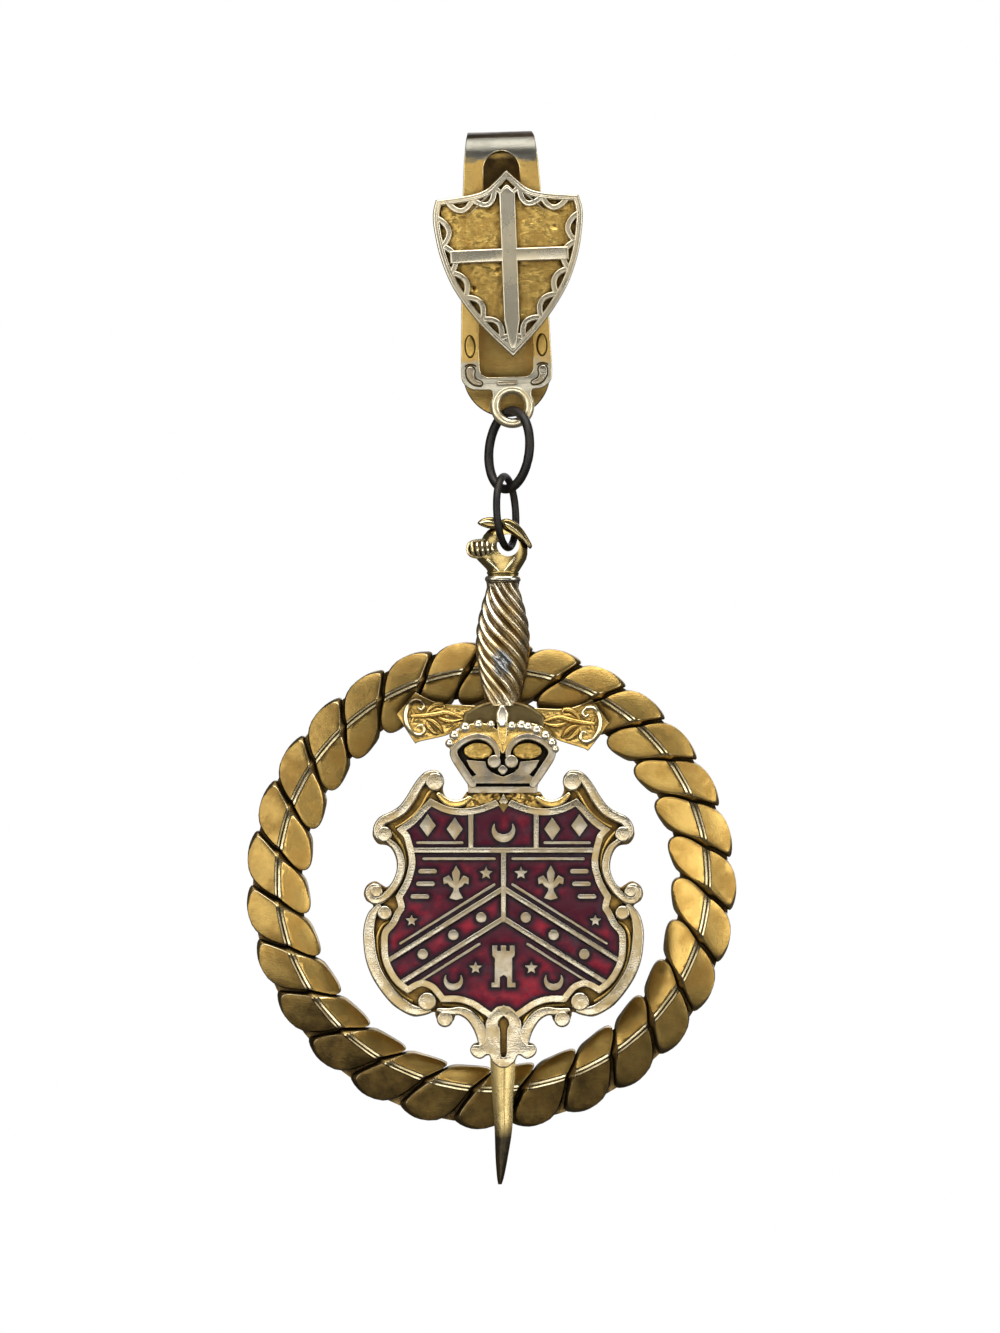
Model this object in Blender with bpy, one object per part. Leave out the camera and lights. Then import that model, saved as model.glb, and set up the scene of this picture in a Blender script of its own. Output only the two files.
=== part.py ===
"""Clip-on medal badge: a spring clip, two wire links and a sword in a rope ring with an enamelled shield.

Metres, +Z up. The front faces -Y. The origin lies under the fold of the clip, where a cloth edge sits.
"""

import math

import bmesh
import bpy
from mathutils import Matrix, Vector

MM = 0.001

# Clearances
GAP = 0.20 * MM             # between pieces that are fixed to each other
ENAMEL_GAP = 0.10 * MM      # round each enamel body
PIN_CLEARANCE = 0.25 * MM   # round a rivet's shank
SINK = 0.15 * MM            # how far joined shapes reach into each other
WELD = 0.008 * MM           # corners closer than this are one corner
STEP = 0.04 * MM            # joined shapes' flat faces lie this far apart, so that none coincide
SEAT = 0.07 * MM            # the middles of raised shapes lie this far under the face they stand on
FLAT_ANGLE = 0.02           # degrees up to which neighbouring faces are one face
OVERSHOOT = 1.0 * MM        # how far a cutter passes the faces that it opens

# Clip: a strip bent over a cloth edge
STRIP = 0.80 * MM                  # thickness of the strip
CLOTH_SPACE = 3.80 * MM            # free space under the fold
CLIP_LEAN = 1.5                    # degrees that the clip leans on the cloth
FRONT_LEAF = 24.6 * MM             # straight length of the front leaf
BACK_LEAF = 27.4 * MM
BACK_LEAF_SLOPE = 3.0              # degrees that the back leaf runs towards the front one
FOLD_HALF_WIDTH = 3.45 * MM
LEAF_HALF_WIDTH = 4.80 * MM
BACK_HALF_WIDTH = 4.60 * MM
LEAF_BAND = 2.00 * MM              # metal left round the front leaf's opening
LEAF_FOOT = 1.35 * MM              # metal left under the opening
LEAF_CORNER = 1.60 * MM
WINDOW_CORNER = 1.00 * MM
SLOT_RISE = 0.40 * MM              # the opening's top reaches this far up into the fold
FOLD_STEPS = 8                     # flats in a quarter of the fold
EYE_RADIUS = 2.30 * MM
EYE_HOLE = 1.30 * MM
EYE_DROP = 1.75 * MM               # from the leaf's foot down to the eye's centre
EYE_NECK = 2.15 * MM               # half width of the neck over the eye
EYE_FILLET = 0.18 * MM             # fall of the leaf's foot towards the neck
EYE_SHIFT = 0.50 * MM              # the eye stands a little to the right of the leaf's middle
LEAF_RELIEF = 0.22 * MM
LEAF_BAR = (1.10 * MM, 0.36 * MM)  # half sizes of the raised bar over the eye
LEAF_OVALS = ((4.60 * MM, 0.45 * MM, 1.10 * MM), (1.70 * MM, 0.70 * MM, 0.95 * MM))  # lift, half sizes

# Clip shield
CREST_HALF_WIDTH = 7.85 * MM
CREST_HEIGHT = 19.1 * MM
CREST_TOP = 3.60 * MM              # its tip lies this far under the origin
CREST_SHIFT = 0.45 * MM
CREST_THICK = 1.50 * MM
CREST_DOME = 0.55 * MM             # the edges lie this far behind the middle
CREST_SUNK = 0.40 * MM             # depth of the ground
CREST_RIM = 0.60 * MM
CREST_CROSS = 1.55 * MM            # width of the cross
CREST_CROSS_DROP = 0.455           # share of the height from the tip to the cross arm's middle
CREST_CELL_DEPTH = 0.95 * MM       # depth of the cells under the scallops
CREST_CUSP = 0.35 * MM             # the scallops' points lie this far inside the rim
CREST_TOP_CUSPS = (0.24, 0.56, 0.88)                        # shares of the way from the tip to the corner
CREST_SIDE_CUSPS = (0.075, 0.225, 0.375, 0.525, 0.675, 0.82)  # and from the corner to the foot
CREST_CUSP_GAP = 0.022
CREST_PIN_REACH = 2.95 * MM        # from the middle to each rivet
CREST_PIN_DROP = 0.40              # share of the height from the tip to the rivets

# Links
UPPER_WIRE = 0.50 * MM             # radius
LOWER_WIRE = 0.40 * MM             # radius
UPPER_HALF_WIDTH = 3.00 * MM       # middle of the wire
LOWER_HALF_WIDTH = 2.65 * MM
UPPER_HALF_HEIGHT = 4.12 * MM
LOWER_HALF_HEIGHT = 3.62 * MM
UPPER_TURN = -45.0                 # degrees about the vertical
LOWER_TURN = 68.0
UPPER_TILT = 4.5                   # degrees that the link's head leans right
LOWER_TILT = -3.0
LINK_PLAY = 0.30 * MM              # clear space where a link hangs on what holds it
LINK_POINTS = 16

# Sword
SWORD_X = 0.25 * MM
PIERCE_X = 0.80 * MM               # middle of the pommel's hole
PIERCE_DROP = 42.85 * MM           # from the origin down to that hole
PIERCE_RADIUS = 1.22 * MM
POMMEL_THICK = 2.60 * MM
SKULL_HALF_WIDTH = 2.30 * MM
SKULL_HALF_HEIGHT = 2.35 * MM
SKULL_SHIFT = -0.25 * MM           # from the hole's middle
SKULL_DROP = 0.15 * MM
VISOR_SHIFT = -2.45 * MM
VISOR_DROP = 0.45 * MM
VISOR_HALF_LENGTH = 1.75 * MM
VISOR_HALF_HEIGHT = 1.10 * MM
PLUME_WIRE = 0.62 * MM             # radius
COLLAR_DROP = 46.5 * MM
COLLAR_HALF_WIDTH = 1.90 * MM
COLLAR_WIRE = 0.42 * MM
GRIP_LENGTH = 13.2 * MM
GRIP_HALF_WIDTH = 2.75 * MM
GRIP_DEPTH = 2.75 * MM
GRIP_RINGS = 16
GRIP_FLUTE = 0.22 * MM
GRIP_FLUTES = 8                    # round a full turn
GUARD_DROP = 61.1 * MM             # from the origin down to the guard's middle
GUARD_REACH = 11.2 * MM
GUARD_END = 2.75 * MM              # half height of the guard's ends
GUARD_THICK = 1.50 * MM
GUARD_LEAN = 2.4                   # degrees, right side down
GUARD_RELIEF = 0.30 * MM
BLADE_LENGTH = 49.0 * MM           # from the guard's middle to the point
BLADE_HALF_WIDTH = 1.95 * MM
BLADE_THICK = 1.20 * MM
RIVET_RADIUS = 0.50 * MM
RIVET_HEAD = 1.10 * MM
RIVET_HEAD_THICK = 0.50 * MM

# Rope ring
RING_X = -1.00 * MM
RING_DROP = 78.75 * MM
RING_OUTER = 26.1 * MM
RING_INNER = 19.1 * MM
RING_THICK = 3.20 * MM
RING_EDGE = 1.05 * MM              # the lobes' edges lie this far behind their ridge
RING_GROOVE = 1.70 * MM            # depth of the grooves under the ridge
RING_CORE_INSET = 0.45 * MM
RING_LOBES = 28
RING_SLANT = 7.0                   # degrees from a lobe's middle to its outer end
RING_PHASE = 11.6                  # degrees, clockwise from the top, of the first lobe's middle
RING_LOBE_FILL = 0.93              # share of the pitch that a lobe takes
LOBE_POINTS = 12                   # round a lobe's outline

# Crowned shield
SHIELD_X = 0.32 * MM
SHIELD_DROP = 67.5 * MM            # from the origin down to the frame's upper balls
SHIELD_HALF_WIDTH = 14.6 * MM
SHIELD_HEIGHT = 30.0 * MM
SHIELD_THICK = 1.80 * MM
CHANNEL_WIRE = 0.42 * MM           # radius of the gilt channels
SHIELD_LINE = 0.56 * MM            # width of the raised lines between the enamel cells
CELL_DEPTH = 0.75 * MM
ENAMEL_THICK = 0.50 * MM
CROWN_X = -0.10 * MM               # from the shield's middle
CROWN_HALF_WIDTH = 5.75 * MM
CROWN_HEIGHT = 9.65 * MM
CROWN_FOOT = 1.70 * MM             # how far the crown's foot lies under the frame's upper balls
CROWN_BEAD = 0.55 * MM
CROWN_WIRE = 0.32 * MM
CROWN_SUNK = 0.50 * MM
CROWN_JEWEL = 1.10 * MM            # half width of the ovals in the crown's recesses
CROWN_BALL = (0.66 * MM, 0.42 * MM, 0.66 * MM)
CROWN_FINIAL = (0.72 * MM, 0.50 * MM, 1.35 * MM)
SHIELD_PIN_DROPS = (7.2 * MM, 18.5 * MM)

# Places that follow from the sizes
FOLD_RADIUS = (CLOTH_SPACE + STRIP) / 2            # middle of the strip
FOLD_CENTRE_Z = -CLOTH_SPACE / 2
HANG_Y = -FOLD_RADIUS                              # plane of the front leaf, the links and the pommel
SWORD_BACK = HANG_Y + POMMEL_THICK / 2
RING_FRONT = SWORD_BACK + GAP
RING_BACK = RING_FRONT + RING_THICK
SHIELD_BACK = SWORD_BACK - GUARD_THICK - GUARD_RELIEF - GAP
SHIELD_FRONT = SHIELD_BACK - SHIELD_THICK
LEAF_FRONT = HANG_Y - STRIP / 2
LEAF_END_Z = FOLD_CENTRE_Z - FRONT_LEAF

# Outlines, as shares of the named sizes. Each holds the right half from the top down.
CREST_EDGE = (
    (0.00, 0.000), (0.16, 0.062), (0.30, 0.105), (0.52, 0.128), (0.955, 0.145), (1.00, 0.22),
    (0.99, 0.31), (0.925, 0.45), (0.79, 0.60), (0.58, 0.74), (0.33, 0.865), (0.00, 1.00),
)
FRAME_EDGE = (
    (0.000, 0.050), (0.260, 0.058), (0.375, 0.070), (0.440, 0.035), (0.490, 0.012), (0.560, 0.015),
    (0.660, 0.090),
    (0.763, 0.122), (0.850, 0.135), (0.840, 0.205), (0.765, 0.238), (0.752, 0.273), (0.763, 0.315),
    (0.806, 0.350), (0.880, 0.372), (0.900, 0.415), (0.942, 0.448), (0.978, 0.483), (1.000, 0.538),
    (0.993, 0.587), (0.964, 0.647), (0.906, 0.696), (0.820, 0.738), (0.719, 0.773), (0.619, 0.797),
    (0.500, 0.810), (0.417, 0.800), (0.345, 0.795), (0.273, 0.800), (0.216, 0.815), (0.165, 0.839),
    (0.129, 0.881), (0.140, 0.930), (0.086, 0.945), (0.065, 0.972), (0.029, 0.994), (0.000, 1.000),
)
FRAME_BALLS = (              # x, z, radius, all as shares of the half width but z, a share of the height
    (0.489, 0.000, 0.078), (0.882, 0.171, 0.078), (0.950, 0.392, 0.065),
    (0.417, 0.822, 0.061), (0.176, 0.936, 0.065),
)
ENAMEL_EDGE = (
    (0.000, 0.079), (0.230, 0.119), (0.536, 0.072), (0.698, 0.161), (0.640, 0.206), (0.633, 0.259),
    (0.647, 0.315), (0.691, 0.367), (0.766, 0.421), (0.763, 0.469), (0.784, 0.510), (0.842, 0.542),
    (0.849, 0.580), (0.827, 0.657), (0.748, 0.696), (0.683, 0.724), (0.612, 0.713), (0.554, 0.701),
    (0.460, 0.724), (0.396, 0.738), (0.273, 0.745), (0.158, 0.776), (0.072, 0.808), (0.000, 0.812),
)
CHANNELS = (
    ((0.300, 0.092), (0.400, 0.095), (0.480, 0.058)),
    ((0.590, 0.072), (0.690, 0.125), (0.745, 0.165), (0.715, 0.225), (0.690, 0.270), (0.712, 0.328),
     (0.790, 0.385), (0.865, 0.420)),
    ((0.822, 0.450), (0.830, 0.490), (0.905, 0.520), (0.925, 0.560), (0.930, 0.600), (0.900, 0.660)),
    ((0.105, 0.868), (0.145, 0.822), (0.215, 0.790), (0.305, 0.774), (0.400, 0.776), (0.475, 0.760),
     (0.545, 0.738), (0.620, 0.756), (0.700, 0.760), (0.775, 0.734)),
)
CROWN_EDGE = (
    (0.00, 0.000), (0.12, 0.030), (0.15, 0.180), (0.55, 0.215), (0.75, 0.260), (0.90, 0.340),
    (0.99, 0.450), (0.98, 0.560), (0.80, 0.720), (0.64, 0.870), (0.66, 1.000),
)
CROWN_BEADS = ((0.23, 0.20), (0.43, 0.215), (0.63, 0.25), (0.81, 0.33), (0.92, 0.44))
CROWN_ARCH = (
    (0.91, 0.52), (0.80, 0.42), (0.62, 0.34), (0.43, 0.315), (0.25, 0.345), (0.12, 0.44), (0.08, 0.58),
)
CROWN_CURL = (0.16, 0.62)    # the balls at the arches' ends
CROWN_TOP = (0.0, 0.15)      # the finial
CROWN_OVAL = (0.47, 0.50)
CROWN_SLOT = (0.52, 0.86, 0.91)
KEYHOLE = ((0.0, 0.822), (0.045, 0.840), (0.030, 0.870), (0.036, 0.965), (0.0, 0.970))
CROWN_RECESS = (
    (0.80, 0.53), (0.72, 0.44), (0.55, 0.38), (0.38, 0.38), (0.24, 0.44), (0.18, 0.52), (0.24, 0.57),
    (0.32, 0.61), (0.62, 0.61),
)
HELMET_NECK = ((0.51, 0.93), (0.98, 0.80), (1.32, 0.67), (1.62, 0.70))   # drop, half width
PLUME = ((-1.30, 1.00), (-0.80, 1.13), (-0.11, 1.09), (0.46, 0.81), (0.85, 0.30), (1.13, -0.11))
GRIP_SWELL = (               # share of the length from the collar, share of the half width
    (0.00, 0.66), (0.06, 0.61), (0.20, 0.80), (0.43, 1.00), (0.60, 0.985), (0.76, 0.89), (0.90, 0.73),
    (1.00, 0.68),
)
GUARD_EDGE = (               # share of the reach, share of the end's half height, for one arm
    (0.10, 0.62), (0.50, 0.33), (0.63, 0.40), (0.70, 0.72), (0.86, 0.88), (1.00, 0.05), (0.86, -1.00),
    (0.62, -0.78), (0.52, -0.52), (0.34, -0.10), (0.10, -0.50),
)
GUARD_BOSS = ((-0.19, 0.66), (0.19, 0.66), (0.20, -0.62), (-0.20, -0.62))
GUARD_SCROLLS = (
    ((0.70, 0.10), (0.74, 0.42), (0.84, 0.52), (0.90, 0.25), (0.92, -0.10), (0.88, -0.50), (0.78, -0.62),
     (0.72, -0.38), (0.78, -0.18)),
    ((0.28, 0.12), (0.42, 0.05), (0.56, 0.02), (0.66, -0.06)),
    ((0.46, 0.10), (0.53, 0.17), (0.60, 0.24)),
    ((0.46, -0.10), (0.55, -0.28), (0.64, -0.50)),
)
BLADE_TAPER = (              # share of the length, share of the half width, middle's shift as that share
    (0.00, 1.00, 0.00), (0.55, 0.74, 0.00), (0.755, 0.66, 0.00), (0.82, 0.55, 0.00), (0.88, 0.48, 0.03),
    (0.94, 0.34, -0.06), (0.985, 0.19, -0.13), (1.00, 0.10, -0.16),
)

# Heraldic layout of the enamel: shares of the shield's half width and height
CHIEF_LINE = 0.245
CHIEF_SPLIT = 0.235
CHEVRON_APEX = 0.378
CHEVRON_DROP = 0.305         # how far the chevron falls over the shield's half width
CHEVRON_BAND = 0.105
CHARGES = (                  # cell, figure, x, z, half size as a share of the half width
    ("chief_left", "lozenge", -0.35, 0.170, 0.082), ("chief_left", "lozenge", -0.545, 0.158, 0.082),
    ("chief_middle", "crescent", 0.0, 0.176, 0.085),
    ("chief_right", "lozenge", 0.35, 0.170, 0.082), ("chief_right", "lozenge", 0.545, 0.158, 0.082),
    ("field_left", "lily", -0.34, 0.358, 0.125), ("field_right", "lily", 0.34, 0.358, 0.125),
    ("field_left", "bar", -0.545, 0.318, 0.065), ("field_right", "bar", 0.545, 0.318, 0.065),
    ("field_left", "bar", -0.560, 0.362, 0.065), ("field_right", "bar", 0.560, 0.362, 0.065),
    ("field_left", "bar", -0.600, 0.406, 0.065), ("field_right", "bar", 0.600, 0.406, 0.065),
    ("chevron_left", "roundel", -0.16, 0.479, 0.038), ("chevron_right", "roundel", 0.16, 0.479, 0.038),
    ("chevron_left", "roundel", -0.36, 0.540, 0.038), ("chevron_right", "roundel", 0.36, 0.540, 0.038),
    ("chevron_left", "roundel", -0.58, 0.607, 0.038), ("chevron_right", "roundel", 0.58, 0.607, 0.038),
    ("base", "tower", 0.0, 0.650, 0.150),
    ("base", "crescent", -0.36, 0.680, 0.075), ("base", "crescent", 0.36, 0.680, 0.075),
)
LILY = (
    (0.00, 1.00), (0.24, 0.58), (0.15, 0.06), (0.42, 0.42), (0.74, 0.28), (0.72, -0.10), (0.50, -0.02),
    (0.34, -0.22), (0.16, -0.30), (0.16, -0.46), (0.40, -0.88), (0.00, -1.00),
)
TOWER = (
    (0.00, 1.00), (0.13, 1.00), (0.13, 0.74), (0.30, 0.74), (0.30, 1.00), (0.54, 1.00), (0.54, 0.52),
    (0.42, 0.40), (0.42, -0.78), (0.58, -0.78), (0.58, -1.00), (0.17, -1.00), (0.17, -0.52), (0.00, -0.40),
)

parts = None
cutters = None


def start_scene():
    """Empty the scene and make the two collections."""
    global parts, cutters
    for thing in list(bpy.data.objects):
        bpy.data.objects.remove(thing, do_unlink=True)
    parts = bpy.data.collections.new("medal_badge")
    cutters = bpy.data.collections.new("cutters")
    for collection in (parts, cutters):
        bpy.context.scene.collection.children.link(collection)


def metal(name, colour, roughness, metallic=1.0):
    """A Principled material."""
    material = bpy.data.materials.new(name)
    material.use_nodes = True
    shader = material.node_tree.nodes["Principled BSDF"]
    shader.inputs["Base Color"].default_value = (*colour, 1.0)
    shader.inputs["Roughness"].default_value = roughness
    shader.inputs["Metallic"].default_value = metallic
    return material


def add_part(name, mesh, material):
    """Put a finished mesh in the model as a part of its own."""
    mesh.name = name
    part = bpy.data.objects.new(name, mesh)
    parts.objects.link(part)
    mesh.materials.clear()
    mesh.materials.append(material)
    mesh.shade_smooth()
    mesh.set_sharp_from_angle(angle=math.radians(30))
    return part


def hang_on(empty_name, place, pieces):
    """Give the pieces a parent empty at the point that they swing about, and leave them where they are."""
    pivot = bpy.data.objects.new(empty_name, None)
    pivot.location = place
    parts.objects.link(pivot)
    for piece in pieces:
        piece.parent = pivot
        piece.matrix_parent_inverse = Matrix.Translation(-Vector(place))


# Meshes from primitives, outlines, curves and sections


def finished(bm):
    """Weld a bmesh, point its faces out and return it as a mesh."""
    bmesh.ops.remove_doubles(bm, verts=bm.verts, dist=WELD)
    bmesh.ops.recalc_face_normals(bm, faces=bm.faces)
    mesh = bpy.data.meshes.new("shape")
    bm.to_mesh(mesh)
    bm.free()
    return mesh


def from_curve(curve, matrix):
    """Turn curve data into a welded mesh, moved by the matrix."""
    holder = bpy.data.objects.new("curve", curve)
    cutters.objects.link(holder)
    bpy.context.view_layer.update()
    evaluated = holder.evaluated_get(bpy.context.evaluated_depsgraph_get())
    mesh = bpy.data.meshes.new_from_object(evaluated)
    bpy.data.objects.remove(holder, do_unlink=True)
    bm = bmesh.new()
    bm.from_mesh(mesh)
    bm.transform(matrix)
    return finished(bm)


def outline_slab(loop, front, back):
    """A slab between two Y planes whose outline is a closed loop of (x, z) points."""
    curve = bpy.data.curves.new("outline", "CURVE")
    curve.dimensions = "2D"
    curve.fill_mode = "BOTH"
    curve.extrude = (back - front) / 2
    spline = curve.splines.new("POLY")
    spline.points.add(len(loop) - 1)
    for point, (x, z) in zip(spline.points, loop):
        point.co = (x, z, 0.0, 1.0)
    spline.use_cyclic_u = True
    stand_up = Matrix.Translation((0.0, (front + back) / 2, 0.0)) @ Matrix.Rotation(math.pi / 2, 4, "X")
    bm = bmesh.new()
    bm.from_mesh(from_curve(curve, stand_up))
    bmesh.ops.dissolve_limit(bm, angle_limit=math.radians(FLAT_ANGLE), verts=bm.verts, edges=bm.edges)
    return finished(bm)


def tube(points, radius, closed=False, sides=6):
    """A wire along 3-D points."""
    curve = bpy.data.curves.new("wire", "CURVE")
    curve.dimensions = "3D"
    curve.bevel_depth = radius
    curve.bevel_resolution = (sides - 4) // 2
    curve.use_fill_caps = not closed
    spline = curve.splines.new("POLY")
    spline.points.add(len(points) - 1)
    for point, place in zip(spline.points, points):
        point.co = (*place, 1.0)
    spline.use_cyclic_u = closed
    return from_curve(curve, Matrix())


def cylinder(centre, radius, front, back, sides=16, end_radius=None):
    """A cylinder or cone along Y between two planes, at an (x, z) centre, with a flat side up."""
    bm = bmesh.new()
    bmesh.ops.create_cone(bm, cap_ends=True, segments=sides, radius1=radius,
                          radius2=radius if end_radius is None else end_radius, depth=back - front)
    bm.transform(Matrix.Translation((centre[0], (front + back) / 2, centre[1]))
                 @ Matrix.Rotation(-math.pi / 2, 4, "X") @ Matrix.Rotation(math.pi / sides, 4, "Z"))
    return finished(bm)


def ellipsoid(centre, radii, segments=12, rings=8):
    """A ball stretched to three radii."""
    bm = bmesh.new()
    bmesh.ops.create_uvsphere(bm, u_segments=segments, v_segments=rings, radius=1.0)
    bm.transform(Matrix.Translation(centre) @ Matrix.Diagonal((*radii, 1.0)))
    return finished(bm)


def loft(sections):
    """A closed body through sections that hold as many points each."""
    bm = bmesh.new()
    rings = [[bm.verts.new(point) for point in section] for section in sections]
    count = len(rings[0])
    for ring, following in zip(rings, rings[1:]):
        for index in range(count):
            after = (index + 1) % count
            bm.faces.new((ring[index], ring[after], following[after], following[index]))
    bm.faces.new(rings[0])
    bm.faces.new(reversed(rings[-1]))
    bmesh.ops.triangulate(bm, faces=bm.faces)
    return finished(bm)


def joined_loose(meshes):
    """Several closed meshes that don't touch, as one mesh for a Boolean."""
    bm = bmesh.new()
    for mesh in meshes:
        bm.from_mesh(mesh)
    return finished(bm)


def boolean(mesh, tools, operation):
    """Add all the tools to a mesh, or cut them away, in one step, and return the result as a mesh."""
    operands = bpy.data.collections.new("operands")
    cutters.children.link(operands)
    target = bpy.data.objects.new("target", mesh)
    cutters.objects.link(target)
    for tool in tools:
        operands.objects.link(bpy.data.objects.new("tool", tool))
    for thing in [target, *operands.objects]:
        thing.hide_render = True
        thing.display_type = "WIRE"
    modifier = target.modifiers.new("boolean", "BOOLEAN")
    modifier.operation = operation
    modifier.operand_type = "COLLECTION"
    modifier.collection = operands
    bpy.context.view_layer.update()
    evaluated = target.evaluated_get(bpy.context.evaluated_depsgraph_get())
    result = bpy.data.meshes.new_from_object(evaluated)
    for thing in [target, *operands.objects]:
        bpy.data.objects.remove(thing, do_unlink=True)
    bpy.data.collections.remove(operands)
    return result


def united(mesh, *others):
    """Join meshes that reach into each other."""
    return boolean(mesh, others, "UNION")


def cut(mesh, *tools):
    """Take the tools away from a mesh."""
    return boolean(mesh, tools, "DIFFERENCE")


def reshape(mesh, mapping=None):
    """Weld a joined mesh, cut its faces into triangles and move each vertex by a function."""
    bm = bmesh.new()
    bm.from_mesh(mesh)
    bmesh.ops.remove_doubles(bm, verts=bm.verts, dist=WELD)
    bmesh.ops.dissolve_degenerate(bm, edges=bm.edges, dist=WELD)
    bmesh.ops.triangulate(bm, faces=bm.faces)
    if mapping:
        for vertex in bm.verts:
            vertex.co = mapping(vertex.co)
    return finished(bm)


# Flat geometry


def mirrored(half):
    """Both halves of an outline whose right half runs from the top down."""
    left = [(-x, z) for x, z in reversed(half) if abs(x) > 1e-9]
    return list(half) + left


def placed(half, half_width, height, x=0.0, top=0.0):
    """An outline of shares at its real size, hanging down from top."""
    return [(x + px * half_width, top - pz * height) for px, pz in mirrored(half)]


def signed_area(loop):
    """Positive if a loop runs anticlockwise."""
    return sum(a[0] * b[1] - b[0] * a[1] for a, b in zip(loop, loop[1:] + loop[:1])) / 2


def offset_loop(loop, distance):
    """Move a closed loop's edges outwards, or inwards for a negative distance."""
    side = 1.0 if signed_area(loop) > 0 else -1.0
    moved = []
    for before, here, after in zip(loop[-1:] + loop[:-1], loop, loop[1:] + loop[:1]):
        into = (Vector(here) - Vector(before)).normalized()
        out = (Vector(after) - Vector(here)).normalized()
        normal = Vector((into.y + out.y, -into.x - out.x)) * side
        stretch = max(0.35, normal.length_squared / 4)
        moved.append(tuple(Vector(here) + normal / 2 * (distance / stretch)))
    return moved


def clip_loop(loop, point, normal):
    """Keep the side of a loop that the normal points away from."""
    kept = []
    for here, after in zip(loop, loop[1:] + loop[:1]):
        depth = (Vector(here) - Vector(point)).dot(Vector(normal))
        next_depth = (Vector(after) - Vector(point)).dot(Vector(normal))
        if depth <= 0:
            kept.append(here)
        if depth * next_depth < 0:
            share = depth / (depth - next_depth)
            kept.append(tuple(Vector(here).lerp(Vector(after), share)))
    return kept


def arc(centre, radius, start, end, steps, squash=1.0):
    """Points on an arc, angles in degrees."""
    points = []
    for step in range(steps + 1):
        angle = math.radians(start + (end - start) * step / steps)
        points.append((centre[0] + radius * math.cos(angle), centre[1] + radius * squash * math.sin(angle)))
    return points


def smooth_table(table, share):
    """Read a table of rows (share, value, ...) smoothly between its rows."""
    last = len(table) - 2
    index = max(0, min(last, sum(1 for row in table[1:] if row[0] < share)))
    low, high = table[index], table[index + 1]
    step = (share - low[0]) / (high[0] - low[0])
    step = step * step * (3 - 2 * step)
    return [a + (b - a) * step for a, b in zip(low[1:], high[1:])]


def path_point(path, share):
    """The point and the direction at a share of an open path's length."""
    lengths = [(Vector(b) - Vector(a)).length for a, b in zip(path, path[1:])]
    left = share * sum(lengths)
    for start, end, length in zip(path, path[1:], lengths):
        if left <= length:
            break
        left -= length
    along = (Vector(end) - Vector(start)).normalized()
    return Vector(start) + along * left, along


# Clip


def strip_place(x, run, offset):
    """Bend a flat strip: run is 0 at the fold's top, positive down the front leaf, offset is outwards."""
    quarter = FOLD_RADIUS * math.pi / 2
    slope = math.radians(BACK_LEAF_SLOPE)
    back_end = -(FOLD_RADIUS * slope + quarter)
    radius = FOLD_RADIUS + offset
    bend = max(back_end, min(quarter, run)) / FOLD_RADIUS
    y = -radius * math.sin(bend)
    z = FOLD_CENTRE_Z + radius * math.cos(bend)
    if run > quarter:
        z -= run - quarter
    if run < back_end:
        y -= math.sin(slope) * (back_end - run)
        z -= math.cos(slope) * (back_end - run)
    return Vector((x, y, z))


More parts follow.
